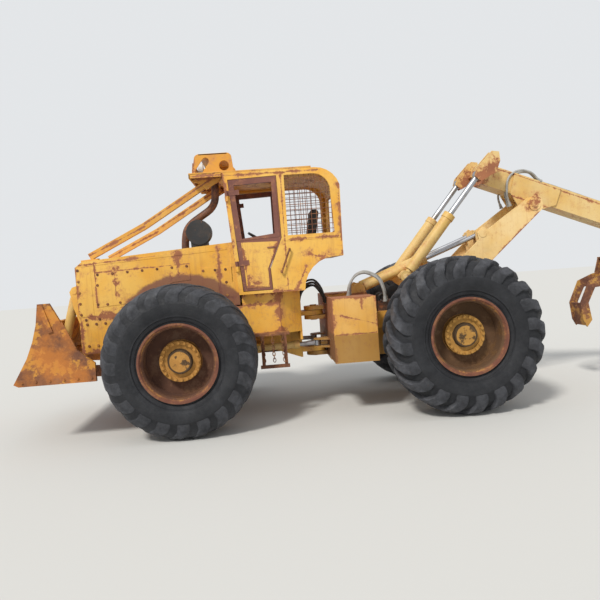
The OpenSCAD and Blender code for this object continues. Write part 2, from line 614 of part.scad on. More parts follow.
// Grapple: link on the boom's tip pin, cross pin, rotator, frame, two tongs and their cylinder
tong_ear = 165;
cross_z = tip_pin[1] - 150;
tong_z = tip_pin[1] - 628;
module link() {
  color(rust) place() difference() {
    union() {
      rod_y(tip_pin, 70, -80, 80);
      translate([tip_pin[0] - 60, -60, cross_z]) cube([120, 120, 90]);
      translate([tip_pin[0] - 60, 0, cross_z]) rotate([0, 90, 0]) cylinder(r = 60, h = 120);
      translate([tip_pin[0] - 130, 0, cross_z]) rotate([0, 90, 0]) cylinder(r = 30, h = 260);
    }
    rod_y(tip_pin, 36 + run_gap, -90, 90);
  }
}
module rotator() {
  color(rust) place() translate([tip_pin[0], 0, 0]) difference() {
    union() {
      for (s = [-1, 1]) translate([s * 95 - 25, -60, cross_z - 110]) cube([50, 120, 110]);
      for (s = [-1, 1]) translate([s * 95 - 25, 0, cross_z]) rotate([0, 90, 0]) cylinder(r = 60, h = 50);
      translate([0, 0, cross_z - 190]) cylinder(r = 130, h = 90);
    }
    translate([-130, 0, cross_z]) rotate([0, 90, 0]) cylinder(r = 30 + run_gap, h = 260);
  }
}
module grapple_frame() {
  color(rust) place() translate([tip_pin[0], 0, 0]) {
    translate([0, 0, cross_z - 215]) cylinder(r = 110, h = 24.7);
    translate([-330, -190, cross_z - 236]) cube([660, 380, 22]);
    both() plate([[-330, cross_z - 230], [-380, tong_z + 60], [-380, tong_z - 60], [-220, tong_z - 60], [-180, tong_z + 80],
      [180, tong_z + 80], [220, tong_z - 60], [380, tong_z - 60], [380, tong_z + 60], [330, cross_z - 230]], -tong_w / 2 - 25, 25);
    for (s = [-1, 1]) rod_y([s * tong_pin_x, tong_z], 36, -tong_w / 2 - 45, tong_w / 2 + 45);
  }
}
tong_curve = [[-60, 60], [-5, 200], [80, 200], [70, 60], [70, -60], [-60, -110], [-270, -130], [-370, -330],
  [-330, -560], [-400, -tong_drop], [-450, -560], [-tong_bulge, -330], [-350, -40], [-150, 40]];
module tong(side) {
  color(rust) place() translate([tip_pin[0], 0, tong_z]) mirror([side, 0, 0]) translate([-tong_pin_x, 0, 0]) difference() {
    union() {
      both() plate(tong_curve, -tong_w / 2 + 12, 24);
      rod_y([0, 0], 60, -tong_w / 2, tong_w / 2);
      bar([20 - tong_bulge, -330], [-400, -tong_drop + 20], 30, 0, tong_w - 10);
      if (side == 0) rod_y([40, tong_ear], 28, -tong_w / 2, tong_w / 2);
      if (side == 1) both() rod_y([40, tong_ear], 45, -tong_w / 2 - 8, -tong_w / 2 + 1);
      both() plate([[-5, tong_ear + 35], [80, tong_ear + 35], [70, 40], [-40, 40]], -52, 20);
    }
    rod_y([0, 0], 36 + run_gap, -tong_w / 2 - 1, tong_w / 2 + 1);
  }
}
module tong_front() { tong(0); }
module tong_rear() { tong(1); }
tong_half = tong_pin_x - 40;

module tong_barrel() {
  color(paint) place() translate([tip_pin[0] - tong_half, 0, tong_z + tong_ear]) barrel(450, 40, 64, 55, 28, 24);
}
module tong_rod() {
  color(chrome) place() translate([tip_pin[0] - tong_half, 0, tong_z + tong_ear]) rod(2 * tong_half, 110, 24, 45, 64);
}

front_frame();
front_axle();
hood();
nose_guard();
engine();
cab();
roof_guard();
window_guards();
exhaust();
air_cleaner();
steps();
seat();
console();
lamps();
door_left();
door_right();
blade();
blade_barrels();
blade_rods();
tyre_front_left();
wheel_front_left();
tyre_front_right();
wheel_front_right();
tyre_rear_left();
wheel_rear_left();
tyre_rear_right();
wheel_rear_right();
rear_frame();
rear_axle();
side_tanks();
valve_bank();
steer_barrel_left();
steer_rod_left();
steer_barrel_right();
steer_rod_right();
arch();
arch_barrels();
arch_rods();
boom();
boom_barrels();
boom_rods();
link();
rotator();
grapple_frame();
tong_front();
tong_rear();
tong_barrel();
tong_rod();
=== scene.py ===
import math
import bmesh
import bpy
from mathutils import Matrix, Vector, noise


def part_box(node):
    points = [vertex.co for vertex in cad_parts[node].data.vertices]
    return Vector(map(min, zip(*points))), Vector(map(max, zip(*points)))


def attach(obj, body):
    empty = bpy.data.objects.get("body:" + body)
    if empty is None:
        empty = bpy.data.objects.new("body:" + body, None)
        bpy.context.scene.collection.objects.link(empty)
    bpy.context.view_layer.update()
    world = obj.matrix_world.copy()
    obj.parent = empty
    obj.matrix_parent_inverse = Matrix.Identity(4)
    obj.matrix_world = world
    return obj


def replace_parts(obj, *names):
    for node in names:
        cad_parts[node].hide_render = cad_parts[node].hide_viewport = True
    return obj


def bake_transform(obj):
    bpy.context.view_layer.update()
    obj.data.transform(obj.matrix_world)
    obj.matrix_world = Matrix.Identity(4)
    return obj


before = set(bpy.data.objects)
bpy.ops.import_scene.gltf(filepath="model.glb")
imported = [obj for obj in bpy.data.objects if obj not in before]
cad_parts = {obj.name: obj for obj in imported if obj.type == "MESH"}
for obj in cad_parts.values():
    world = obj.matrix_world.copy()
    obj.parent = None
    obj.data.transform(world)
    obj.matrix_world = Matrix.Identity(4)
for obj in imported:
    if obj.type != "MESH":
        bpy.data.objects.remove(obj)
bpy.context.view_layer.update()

# The studio. A pale floor, an even sky and one broad lamp stand in for the overcast day of the photograph.
# The camera stands to the machine's left, ahead of its rear axle, as high as the belt of the hood.
floor_mesh = bpy.data.meshes.new("studio_floor")
floor_mesh.from_pydata([(-40, -30, 0), (40, -30, 0), (40, 50, 0), (-40, 50, 0)], [], [(0, 1, 2, 3)])
floor = bpy.data.objects.new("studio_floor", floor_mesh)
bpy.context.scene.collection.objects.link(floor)


def add(tree, kind, inputs=None, **settings):
    """One shader node, with its settings, and its inputs by name or number as values or as other sockets."""
    made = tree.nodes.new(kind)
    for name, value in settings.items():
        setattr(made, name, value)
    for name, value in (inputs or {}).items():
        if isinstance(value, bpy.types.NodeSocket):
            tree.links.new(value, made.inputs[name])
        else:
            made.inputs[name].default_value = value
    return made


floor_look = bpy.data.materials.new("pale_floor")
floor_look.use_nodes = True
tree = floor_look.node_tree
tree.nodes.clear()
matt = add(tree, "ShaderNodeBsdfDiffuse", {"Color": (0.60, 0.60, 0.58, 1)})
tree.links.new(matt.outputs[0], add(tree, "ShaderNodeOutputMaterial").inputs[0])
floor_mesh.materials.append(floor_look)

sky = bpy.data.worlds.new("even_sky")
bpy.context.scene.world = sky
sky.use_nodes = True
tree = sky.node_tree
tree.nodes.clear()
path = add(tree, "ShaderNodeLightPath")
rays = {0: path.outputs["Is Camera Ray"], 1: path.outputs["Is Glossy Ray"]}
seen = add(tree, "ShaderNodeMath", rays, operation="MAXIMUM")
soft = add(tree, "ShaderNodeBackground", {"Color": (0.95, 0.97, 1.0, 1), "Strength": 0.72})
pale = add(tree, "ShaderNodeBackground", {"Color": (0.86, 0.88, 0.90, 1), "Strength": 0.9})
both = add(tree, "ShaderNodeMixShader", {0: seen.outputs[0], 1: soft.outputs[0], 2: pale.outputs[0]})
tree.links.new(both.outputs[0], add(tree, "ShaderNodeOutputWorld").inputs[0])

sun = bpy.data.lights.new("broad_sun", "SUN")
sun.energy, sun.angle, sun.color = 2.6, math.radians(10), (1.0, 0.96, 0.9)
sun_lamp = bpy.data.objects.new("broad_sun", sun)
sun_lamp.rotation_euler = (math.radians(42), math.radians(-14), math.radians(-20))
bpy.context.scene.collection.objects.link(sun_lamp)

lens = bpy.data.cameras.new("photo_camera")
picture_width_px, focal_length_px = 600, 589
lens.sensor_width = 36.0
lens.lens = lens.sensor_width * focal_length_px / picture_width_px
camera = bpy.data.objects.new("photo_camera", lens)
yaw, pitch, roll = math.radians(3.0), math.radians(2.9), math.radians(4.2)
ahead = Vector((math.sin(yaw) * math.cos(pitch), math.cos(yaw) * math.cos(pitch), -math.sin(pitch)))
level = Vector((math.cos(yaw), -math.sin(yaw), 0))
upright = level.cross(ahead)
right = level * math.cos(roll) - upright * math.sin(roll)
up = level * math.sin(roll) + upright * math.cos(roll)
camera_place = (-1.40, -7.76, 1.765)
camera.matrix_world = Matrix.Translation(camera_place) @ Matrix((right, up, -ahead)).transposed().to_4x4()
bpy.context.scene.collection.objects.link(camera)
bpy.context.scene.camera = camera
bpy.context.scene.view_settings.view_transform = "Standard"

# Front frame, hood and nose guard. Folded steel sheet over welded plate, sprayed yellow and left outdoors for
# years: chalked, streaked by rain, and broken by rust that starts along the edges and where a tyre has rubbed.


def group(name, inputs, outputs):
    """An empty shader node group with its sockets, and its two end nodes."""
    made = bpy.data.node_groups.new(name, "ShaderNodeTree")
    for label, kind, value in inputs:
        socket = made.interface.new_socket(name=label, in_out="INPUT", socket_type="NodeSocket" + kind)
        socket.default_value = value
    for label, kind in outputs:
        made.interface.new_socket(name=label, in_out="OUTPUT", socket_type="NodeSocket" + kind)
    return made, made.nodes.new("NodeGroupInput").outputs, made.nodes.new("NodeGroupOutput").inputs


def cloud(tree, where, scale, detail=6.0, rough=0.6):
    """The value of a noise texture."""
    inputs = {"Vector": where, "Scale": scale, "Detail": detail, "Roughness": rough}
    return add(tree, "ShaderNodeTexNoise", inputs).outputs["Fac"]


def band(tree, value, low, high, start=0.0, end=1.0):
    """Start below low, end above high, and smooth between."""
    inputs = {"Value": value, "From Min": low, "From Max": high, "To Min": start, "To Max": end}
    return add(tree, "ShaderNodeMapRange", inputs, interpolation_type="SMOOTHSTEP").outputs["Result"]


def sums(tree, operation, a, b):
    """One Math node, kept between 0 and 1 unless it multiplies."""
    clamped = operation != "MULTIPLY"
    return add(tree, "ShaderNodeMath", {0: a, 1: b}, operation=operation, use_clamp=clamped).outputs[0]


def times(tree, a, b):
    return sums(tree, "MULTIPLY", a, b)


def plus(tree, a, b):
    return sums(tree, "ADD", a, b)


def weighted(tree, first, *others):
    """The sum of masks, each given with its share."""
    total = times(tree, *first)
    for part in others:
        total = plus(tree, total, times(tree, *part))
    return total


def vectors(tree, operation, a, b):
    """The outputs of one Vector Math node."""
    second = "Scale" if operation == "SCALE" else 1
    return add(tree, "ShaderNodeVectorMath", {0: a, second: b}, operation=operation).outputs


def mixed(tree, amount, a, b):
    """Colour a, or b where amount is 1."""
    made = add(tree, "ShaderNodeMix", data_type="RGBA")
    for place, value in ((0, amount), (6, a), (7, b)):
        if isinstance(value, bpy.types.NodeSocket):
            tree.links.new(value, made.inputs[place])
        else:
            made.inputs[place].default_value = value if place == 0 else (*value[:3], 1)
    return made.outputs[2]


def here(tree):
    return add(tree, "ShaderNodeTexCoord").outputs["Object"]


rust_tones, start, end = group("rust_tones", [("Scale", "Float", 1.0)], [("Color", "Color"), ("Height", "Float")])
tree = rust_tones
scaled = vectors(tree, "SCALE", here(tree), start["Scale"])[0]
broad = cloud(tree, scaled, 4.0, 8.0, 0.7)
fine = cloud(tree, scaled, 38.0, 6.0, 0.7)
tone = mixed(tree, band(tree, broad, 0.36, 0.66), (0.12, 0.048, 0.028), (0.30, 0.12, 0.05))
tone = mixed(tree, band(tree, fine, 0.5, 0.74, 0.0, 0.6), tone, (0.36, 0.16, 0.07))
tree.links.new(tone, end["Color"])
tree.links.new(weighted(tree, (fine, 0.6), (broad, 0.4)), end["Height"])

paint_coat, start, end = group("paint_coat", [
    ("Paint", "Color", (0.75, 0.45, 0.1, 1)), ("Faded", "Color", (0.8, 0.55, 0.2, 1)),
    ("Bare", "Color", (0.3, 0.12, 0.05, 1)),
    ("Rust", "Float", 0.5), ("Streaks", "Float", 0.5), ("Stain", "Float", 0.0), ("Soil", "Float", 0.5)],
    [("Color", "Color"), ("Roughness", "Float"), ("Height", "Float")])
tree = paint_coat
place = here(tree)
broad = cloud(tree, place, 1.3, 4.0, 0.55)
middling = cloud(tree, place, 7.0, 8.0, 0.65)
small = cloud(tree, place, 27.0, 8.0, 0.7)
fine = cloud(tree, place, 110.0, 4.0, 0.6)
rain = add(tree, "ShaderNodeMapping", {"Vector": place, "Scale": (12.0, 12.0, 0.7)}).outputs[0]
runs = cloud(tree, rain, 1.7, 6.0, 0.7)
coat = mixed(tree, band(tree, broad, 0.36, 0.66), start["Paint"], start["Faded"])
coat = mixed(tree, band(tree, small, 0.5, 0.75, 0.0, 0.3), coat, start["Faded"])
deeper = mixed(tree, 0.55, start["Paint"], (0.40, 0.17, 0.03))
coat = mixed(tree, band(tree, middling, 0.52, 0.72, 0.0, 0.25), coat, deeper)
wash = times(tree, band(tree, runs, 0.5, 0.78), start["Streaks"])
coat = mixed(tree, times(tree, wash, 0.7), coat, (0.42, 0.155, 0.06))
grime = times(tree, band(tree, cloud(tree, place, 3.1, 8.0, 0.7), 0.5, 0.8), start["Soil"])
coat = mixed(tree, times(tree, grime, 0.6), coat, (0.20, 0.11, 0.045))
wear = weighted(tree, (middling, 0.45), (small, 0.4), (fine, 0.15))
seeded = weighted(tree, (start["Rust"], 0.10), (start["Stain"], 0.21))
broken = plus(tree, wear, seeded)
patch = band(tree, broken, 0.66, 0.70)
halo = band(tree, broken, 0.55, 0.69, 0.0, 0.7)
coat = mixed(tree, halo, coat, (0.52, 0.22, 0.085))
coat = mixed(tree, patch, coat, start["Bare"])
tree.links.new(coat, end["Color"])
rough = plus(tree, band(tree, broad, 0.3, 0.7, 0.46, 0.62), times(tree, patch, 0.3))
tree.links.new(rough, end["Roughness"])
lift = sums(tree, "SUBTRACT", plus(tree, times(tree, small, 0.25), 0.5), times(tree, patch, 0.4))
tree.links.new(lift, end["Height"])

# How near a point is to a line on the machine's side, given by its ends in X and Z: 1 on it, 0 beyond its width.
near_line, start, end = group(
    "near_line", [("From", "Vector", (0, 0, 0)), ("Along", "Vector", (1, 0, 0)), ("Width", "Float", 0.05)],
    [("Mask", "Float")])
tree = near_line
place = here(tree)
flat = vectors(tree, "MULTIPLY", place, (1, 0, 1))[0]
away = vectors(tree, "SUBTRACT", flat, start["From"])[0]
reach = vectors(tree, "DOT_PRODUCT", away, start["Along"])["Value"]
whole = vectors(tree, "DOT_PRODUCT", start["Along"], start["Along"])["Value"]
share = sums(tree, "DIVIDE", reach, whole)
foot = vectors(tree, "SCALE", start["Along"], share)[0]
far = vectors(tree, "DISTANCE", away, foot)["Value"]
uneven = band(tree, cloud(tree, place, 6.0, 6.0, 0.65), 0.40, 0.62, 0.08, 1.5)
wide = times(tree, start["Width"], uneven)
falling = {"Value": far, "From Min": 0.0, "From Max": wide, "To Min": 1.0, "To Max": 0.0}
mask = add(tree, "ShaderNodeMapRange", falling)
tree.links.new(mask.outputs["Result"], end["Mask"])


def use(tree, kind, **values):
    """A node group put in a material, with its own values."""
    made = tree.nodes.new("ShaderNodeGroup")
    made.node_tree = kind
    for name, value in values.items():
        if isinstance(value, bpy.types.NodeSocket):
            tree.links.new(value, made.inputs[name])
        else:
            made.inputs[name].default_value = value
    return made.outputs


def finish_of(name):
    """A new material with a bare Principled shader."""
    made = bpy.data.materials.new(name)
    made.use_nodes = True
    tree = made.node_tree
    tree.nodes.clear()
    shader = tree.nodes.new("ShaderNodeBsdfPrincipled")
    tree.links.new(shader.outputs[0], tree.nodes.new("ShaderNodeOutputMaterial").inputs[0])
    return made, tree, shader


def bump(tree, shader, height, strength, distance):
    made = add(tree, "ShaderNodeBump", {"Height": height, "Strength": strength, "Distance": distance})
    tree.links.new(made.outputs[0], shader.inputs["Normal"])


def stained(tree, lines):
    """The strongest of the masks along lines of (x, z, x, z, width)."""
    stain = 0.0
    for x0, z0, x1, z1, width in lines:
        mask = use(tree, near_line, From=(x0, 0, z0), Along=(x1 - x0, 0, z1 - z0), Width=width)["Mask"]
        stain = mask if stain == 0.0 else sums(tree, "MAXIMUM", stain, mask)
    return stain


def beside(x, lines):
    """Lines of (x, z, x, z, width or count) whose X is given from x."""
    return [(x + x0, z0, x + x1, z1, last) for x0, z0, x1, z1, last in lines]


def ring(tree, x, z):
    """The distance from an axle at x and z."""
    flat = vectors(tree, "MULTIPLY", here(tree), (1, 0, 1))[0]
    return vectors(tree, "DISTANCE", flat, (x, 0, z))["Value"]


def painted(name, paint, faded, rust, streaks, soil, lines=(), tint=None):
    """Worn paint, with rust along lines. tint changes the colour once more."""
    made, tree, shader = finish_of(name)
    bare = use(tree, rust_tones, Scale=1.0)
    bare = mixed(tree, 0.5, bare["Color"], (0.46, 0.17, 0.075))
    coat = use(tree, paint_coat, Paint=(*paint, 1), Faded=(*faded, 1), Bare=bare, Rust=rust, Streaks=streaks,
               Stain=stained(tree, lines), Soil=soil)
    colour = tint(tree, coat["Color"]) if tint else coat["Color"]
    tree.links.new(colour, shader.inputs["Base Color"])
    tree.links.new(coat["Roughness"], shader.inputs["Roughness"])
    bump(tree, shader, coat["Height"], 0.5, 0.004)
    return made


def dress(names, material):
    for name in names:
        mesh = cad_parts[name].data
        mesh.materials.clear()
        mesh.materials.append(material)


YELLOW, CHALKY = (0.78, 0.385, 0.040), (0.82, 0.49, 0.10)
rear_x = float(sum(corner[0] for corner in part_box("tyre_rear_left")) / 2)
front_x = float(sum(corner[0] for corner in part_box("tyre_front_left")) / 2)
front_axle_z = float(sum(corner[2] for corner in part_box("wheel_front_left")) / 2)


def tyre_rub(tree, colour):
    """The band where the worn front tyre has scraped the sheet down to its primer."""
    far = times(tree, ring(tree, front_x, front_axle_z), 0.5)
    far = plus(tree, far, times(tree, cloud(tree, here(tree), 8.0, 7.0, 0.7), 0.05))
    worn = times(tree, band(tree, far, 0.425, 0.435), band(tree, far, 0.492, 0.512, 1.0, 0.0))
    return mixed(tree, times(tree, worn, 0.9), colour, (0.20, 0.075, 0.052))


hood_low, hood_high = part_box("hood")
seam_z, hood_front, hood_back = hood_low[2], hood_low[0], hood_high[0]
hood_lines = [(hood_front, seam_z, hood_back, seam_z, 0.07), (hood_front, seam_z, hood_front, 2.0, 0.05)]
hood_lines += beside(front_x, [
    (-1.02, 1.50, -1.02, 2.03, 0.018), (-0.79, 1.62, -0.79, 1.93, 0.085),
    (-0.79, 1.47, -0.55, 1.50, 0.09), (-0.03, 1.80, -0.03, 2.05, 0.10),
    (0.11, 1.94, -1.02, 1.91, 0.016), (0.456, 1.42, 0.456, 2.1, 0.05),
    (0.24, 1.47, 0.60, 1.50, 0.06), (-1.20, 2.01, -0.30, 2.06, 0.03)])
hood_paint = painted(
    "hood_paint", YELLOW, CHALKY, rust=0.45, streaks=0.6, soil=0.3, lines=hood_lines, tint=tyre_rub)
dress(["hood", "nose_guard"], hood_paint)
frame_lines = [
    (hood_front, seam_z, hood_front + 2.4, seam_z, 0.05), (hood_front, 0.95, front_x - 0.37, 0.95, 0.08),
    (hood_front + 0.02, 1.0, hood_front + 0.02, 1.38, 0.07), (front_x + 0.4, 1.0, front_x + 1.1, 1.02, 0.07),
    (front_x + 1.15, 1.0, front_x + 1.15, 1.5, 0.07), (front_x + 0.7, 1.52, front_x + 1.1, 1.52, 0.05)]
frame_paint = painted("frame_paint", YELLOW, CHALKY, rust=0.55, streaks=0.8, soil=0.6, lines=frame_lines)
dress(["front_frame"], frame_paint)


def worked(name, remains, amount, scale=1.0, lines=(), tint=None):
    """Rusted steel that still holds patches of its old paint."""
    made, tree, shader = finish_of(name)
    tones = use(tree, rust_tones, Scale=scale)
    old = vectors(tree, "SCALE", here(tree), scale)[0]
    left = weighted(tree, (cloud(tree, old, 4.0, 8.0, 0.68), 0.7), (cloud(tree, old, 30.0), 0.3))
    left = sums(tree, "SUBTRACT", left, times(tree, stained(tree, lines), 0.25))
    left = band(tree, left, 0.60 - amount * 0.2, 0.66 - amount * 0.2)
    colour = mixed(tree, left, tones["Color"], remains)
    tree.links.new(tint(tree, colour) if tint else colour, shader.inputs["Base Color"])
    tree.links.new(sums(tree, "SUBTRACT", 0.86, times(tree, left, 0.25)), shader.inputs["Roughness"])
    bump(tree, shader, tones["Height"], 0.6, 0.004)
    return made


bare_rust = worked("rusted_steel", (0.42, 0.20, 0.05), amount=0.35)
dress(["front_axle", "rear_axle", "window_guards", "steps"], bare_rust)

# Bolts, all over the machine. Steel hexagon heads on round washers, screwed through hood, frame, blade ends and
# tanks, and rusted with the plate that they hold. On the hood they hold thin raised panels of folded sheet.
tree = bpy.data.node_groups.new("bolt_row", "GeometryNodeTree")
for label, kind in (("Geometry", "Geometry"), ("Radius", "Float"), ("Material", "Material")):
    tree.interface.new_socket(name=label, in_out="INPUT", socket_type="NodeSocket" + kind)
tree.interface.new_socket(name="Geometry", in_out="OUTPUT", socket_type="NodeSocketGeometry")
start = tree.nodes.new("NodeGroupInput").outputs
head_high, washer_wide, washer_high = (times(tree, start["Radius"], share) for share in (0.75, 1.5, 0.25))
head = {"Vertices": 6, "Radius": start["Radius"], "Depth": head_high}
hexagon = add(tree, "GeometryNodeMeshCylinder", head, fill_type="NGON")
round_plate = {"Vertices": 12, "Radius": washer_wide, "Depth": washer_high}
washer = add(tree, "GeometryNodeMeshCylinder", round_plate, fill_type="NGON")
lifted = add(tree, "ShaderNodeCombineXYZ", {"Z": times(tree, head_high, 0.5)})
raised = add(tree, "GeometryNodeTransform", {"Geometry": hexagon.outputs["Mesh"], "Translation": lifted.outputs[0]})
joined = tree.nodes.new("GeometryNodeJoinGeometry")
tree.links.new(raised.outputs[0], joined.inputs[0])
tree.links.new(washer.outputs["Mesh"], joined.inputs[0])
facing = add(tree, "GeometryNodeInputNamedAttribute", {"Name": "facing"}, data_type="FLOAT_VECTOR")
turned = add(tree, "FunctionNodeAlignRotationToVector", {"Vector": facing.outputs["Attribute"]}, axis="Z")
spread = {"Points": start["Geometry"], "Instance": joined.outputs[0], "Rotation": turned.outputs[0]}
instances = add(tree, "GeometryNodeInstanceOnPoints", spread)
real = add(tree, "GeometryNodeRealizeInstances", {0: instances.outputs[0]})
coloured = add(tree, "GeometryNodeSetMaterial", {"Geometry": real.outputs[0], "Material": start["Material"]})
tree.links.new(coloured.outputs[0], tree.nodes.new("NodeGroupOutput").inputs[0])
bolt_row = tree


def settle(name, mesh, body, smooth=None):
    """A finished piece from its mesh, riding on its body."""
    if smooth:
        mesh.shade_smooth()
    made = bpy.data.objects.new(name, mesh)
    bpy.context.scene.collection.objects.link(made)
    if smooth:
        mesh.set_sharp_from_angle(angle=math.radians(smooth))
    if body:
        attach(made, body)
    return made


def finished(name, bm, body, material, smooth=None):
    """A piece from a bmesh, once its faces are turned outwards."""
    bmesh.ops.recalc_face_normals(bm, faces=bm.faces)
    mesh = bpy.data.meshes.new(name)
    bm.to_mesh(mesh)
    bm.free()
    mesh.materials.append(material)
    return settle(name, mesh, body, smooth)


def bolts(name, body, material, radius, spots):
    """Bolts at spots of (place, the way they face), as one mesh."""
    seeds = bpy.data.meshes.new(name + "_seeds")
    seeds.from_pydata([place for place, _ in spots], [], [])
    way = seeds.attributes.new("facing", "FLOAT_VECTOR", "POINT")
    for k, (_, facing) in enumerate(spots):
        way.data[k].vector = facing
    seed = bpy.data.objects.new(name + "_seeds", seeds)
    bpy.context.scene.collection.objects.link(seed)
    rows = seed.modifiers.new("rows", "NODES")
    rows.node_group = bolt_row
    sockets = {item.name: item.identifier for item in bolt_row.interface.items_tree if item.in_out == "INPUT"}
    rows[sockets["Radius"]] = radius
    rows[sockets["Material"]] = material
    bpy.context.view_layer.update()
    mesh = bpy.data.meshes.new_from_object(seed.evaluated_get(bpy.context.evaluated_depsgraph_get()))
    mesh.name = name
    bpy.data.objects.remove(seed)
    return settle(name, mesh, body)


def row(x0, z0, x1, z1, count, y):
    """Spots spread evenly along a line on the machine's side at y, facing outwards."""
    a, b = Vector((x0, y, z0)), Vector((x1, y, z1))
    return [(a.lerp(b, k / (count - 1)), (0, math.copysign(1, y), 0)) for k in range(count)]


def plates(name, body, material, cuts, soften=0.0015):
    """Flat plates that stand in X and Z, as (outlines, middle Y, thickness): an edge, then its holes, softened."""
    bm = bmesh.new()
    for outlines, y, thick in cuts:
        drawn = bpy.data.curves.new(name + "_drawn", "CURVE")
        drawn.dimensions, drawn.fill_mode = "2D", "BOTH"
        drawn.extrude, drawn.bevel_depth = thick / 2 - soften, soften
        drawn.bevel_resolution, drawn.offset = 1, -soften
        for outline in outlines:
            spline = drawn.splines.new("POLY")
            spline.points.add(len(outline) - 1)
            spline.use_cyclic_u = True
            for point, (x, z) in zip(spline.points, outline):
                point.co = (x, z, 0, 1)
        shape = bpy.data.objects.new(name + "_drawn", drawn)
        bpy.context.scene.collection.objects.link(shape)
        cut = bpy.data.meshes.new_from_object(shape.evaluated_get(bpy.context.evaluated_depsgraph_get()))
        cut.transform(Matrix.Translation((0, y, 0)) @ Matrix.Rotation(math.radians(90), 4, "X"))
        bm.from_mesh(cut)
        bpy.data.objects.remove(shape)
    bmesh.ops.remove_doubles(bm, verts=bm.verts, dist=0.00002)
    return finished(name, bm, body, material)


def at(points):
    """Places given from the rear axle in millimetres, as the machine was measured, in the frame's metres."""
    return [(rear_x + x / 1000, z / 1000) for x, z in points]


def panel(x0, z0, x1, z1):
    """The outline of an upright rectangle."""
    return at([(x0, z0), (x0, z1), (x1, z1), (x1, z0)])


def strip(points, width):
    """The outline of a flat bar that follows points."""
    line = [Vector(p) for p in points]
    sides = []
    for k, p in enumerate(line):
        along = (line[min(k + 1, len(line) - 1)] - line[max(k - 1, 0)]).normalized()
        sides.append((p + along.orthogonal() * width / 2, p - along.orthogonal() * width / 2))
    return [a for a, _ in sides] + [b for _, b in reversed(sides)]


def both_sides(cuts):
    return [(outlines, side * y, thick) for outlines, y, thick in cuts for side in (-1, 1)]


service_panel = at([
    (-4238, 1495), (-4216, 1910), (-3098, 1937), (-3090, 1745), (-3300, 1730), (-3520, 1640), (-3724, 1520)])
middle_panel = panel(-2968, 1475, -2765, 1875)
rear_panel = panel(-2693, 1503, -2588, 1869)
cowl_strip = at([(-2600, 1400), (-2600, 2130), (-2566, 2130), (-2522, 1520), (-2522, 1400)])
top_strip = at([(-4372, 1990), (-4366, 2026), (-2640, 2112), (-2640, 2076)])
nose_panel = panel(-4446, 1395, -4268, 1975)
panel_y, sheet = 0.6012, 0.006
plates("hood_panels", "front", hood_paint, both_sides([
    ([service_panel], panel_y, sheet), ([middle_panel], panel_y, sheet), ([rear_panel], panel_y, sheet),
    ([cowl_strip], panel_y, sheet), ([top_strip], 0.6008, 0.005), ([nose_panel], 0.6006, 0.004)]))
hood_side = -hood_low[1] + 0.004
panel_rows = beside(front_x, [
    (-0.99, 1.885, 0.07, 1.912, 7), (-1.012, 1.53, -1.0, 1.76, 2),
    (-0.90, 1.525, -0.60, 1.545, 3), (0.262, 1.51, 0.262, 1.84, 2),
    (0.405, 1.51, 0.405, 1.84, 2), (0.53, 1.53, 0.53, 1.84, 3)])
panel_rows.append((hood_front + 0.03, 1.42, hood_front + 0.03, 1.95, 5))
spots = []
for side in (-1, 1):
    for line in panel_rows:
        spots += row(*line, side * (hood_side + 0.0005))
    z = seam_z - 0.03
    spots += row(hood_front + 0.08, z, hood_front + 1.85, z, 12, side * (hood_side - 0.002))
    for z in (1.04, 1.30):
        spots += row(hood_front + 0.09, z, hood_front + 0.52, z, 5, side * hood_side)
bolts("hood_bolts", "front", bare_rust, radius=0.011, spots=spots)

# Cab and its doors. Pressed and welded sheet on posts, the doors once stripped to red primer and only their
# lower panels painted again. Square mesh, bolted to a raised band, guards the open rear side windows.
cab_lines = beside(front_x, [
    (0.63, 1.52, 0.58, 2.97, 0.07), (1.31, 2.14, 1.9, 2.14, 0.05),
    (1.55, 1.95, 1.75, 1.88, 0.10), (1.95, 1.9, 1.95, 2.75, 0.045),
    (1.27, 1.52, 1.27, 2.9, 0.02), (0.6, 2.94, 1.75, 2.94, 0.025),
    (1.1, 1.53, 1.4, 1.53, 0.07), (1.38, 1.55, 1.50, 1.80, 0.04)])
cab_paint = painted("cab_paint", YELLOW, CHALKY, rust=0.4, streaks=0.6, soil=0.35, lines=cab_lines)
dress(["cab"], cab_paint)
primer = painted("door_primer", (0.15, 0.05, 0.036), (0.21, 0.08, 0.055), rust=0.4, streaks=0.5, soil=0.4)
dress(["door_left", "door_right"], primer)
door_lines = beside(front_x, [
    (0.80, 1.60, 0.76, 2.14, 0.06), (0.80, 1.60, 1.06, 1.60, 0.09), (1.04, 1.6, 1.19, 2.12, 0.06)])
panel_paint = painted("door_panel_paint", YELLOW, CHALKY, rust=0.62, streaks=0.8, soil=0.3, lines=door_lines)
lower_panel = at([(-2425, 1592), (-2452, 2140), (-2008, 2128), (-2155, 1812), (-2147, 1592)])
door_frame = at([(-2512, 2160), (-2550, 2868), (-1998, 2880), (-1990, 2180)])
door_window = at([(-2440, 2185), (-2490, 2820), (-2045, 2835), (-2045, 2225)])
handle = panel(-2146, 2054, -2048, 2070)
skin_y = 0.7012
for side, name in ((-1, "left"), (1, "right")):
    door = name + "_door"
    plates("door_panel_" + name, door, panel_paint, [([lower_panel], side * skin_y, sheet)])
    plates("door_frame_" + name, door, primer, [
        ([door_frame, door_window], side * skin_y, sheet), ([handle], side * 0.708, 0.014)])


def bend(x, z, radius, first, last, count=6):
    """Places round part of a circle, in millimetres and degrees."""
    angles = [math.radians(first + (last - first) * k / count) for k in range(count + 1)]
    return [(x + radius * math.cos(a), z + radius * math.sin(a)) for a in angles]


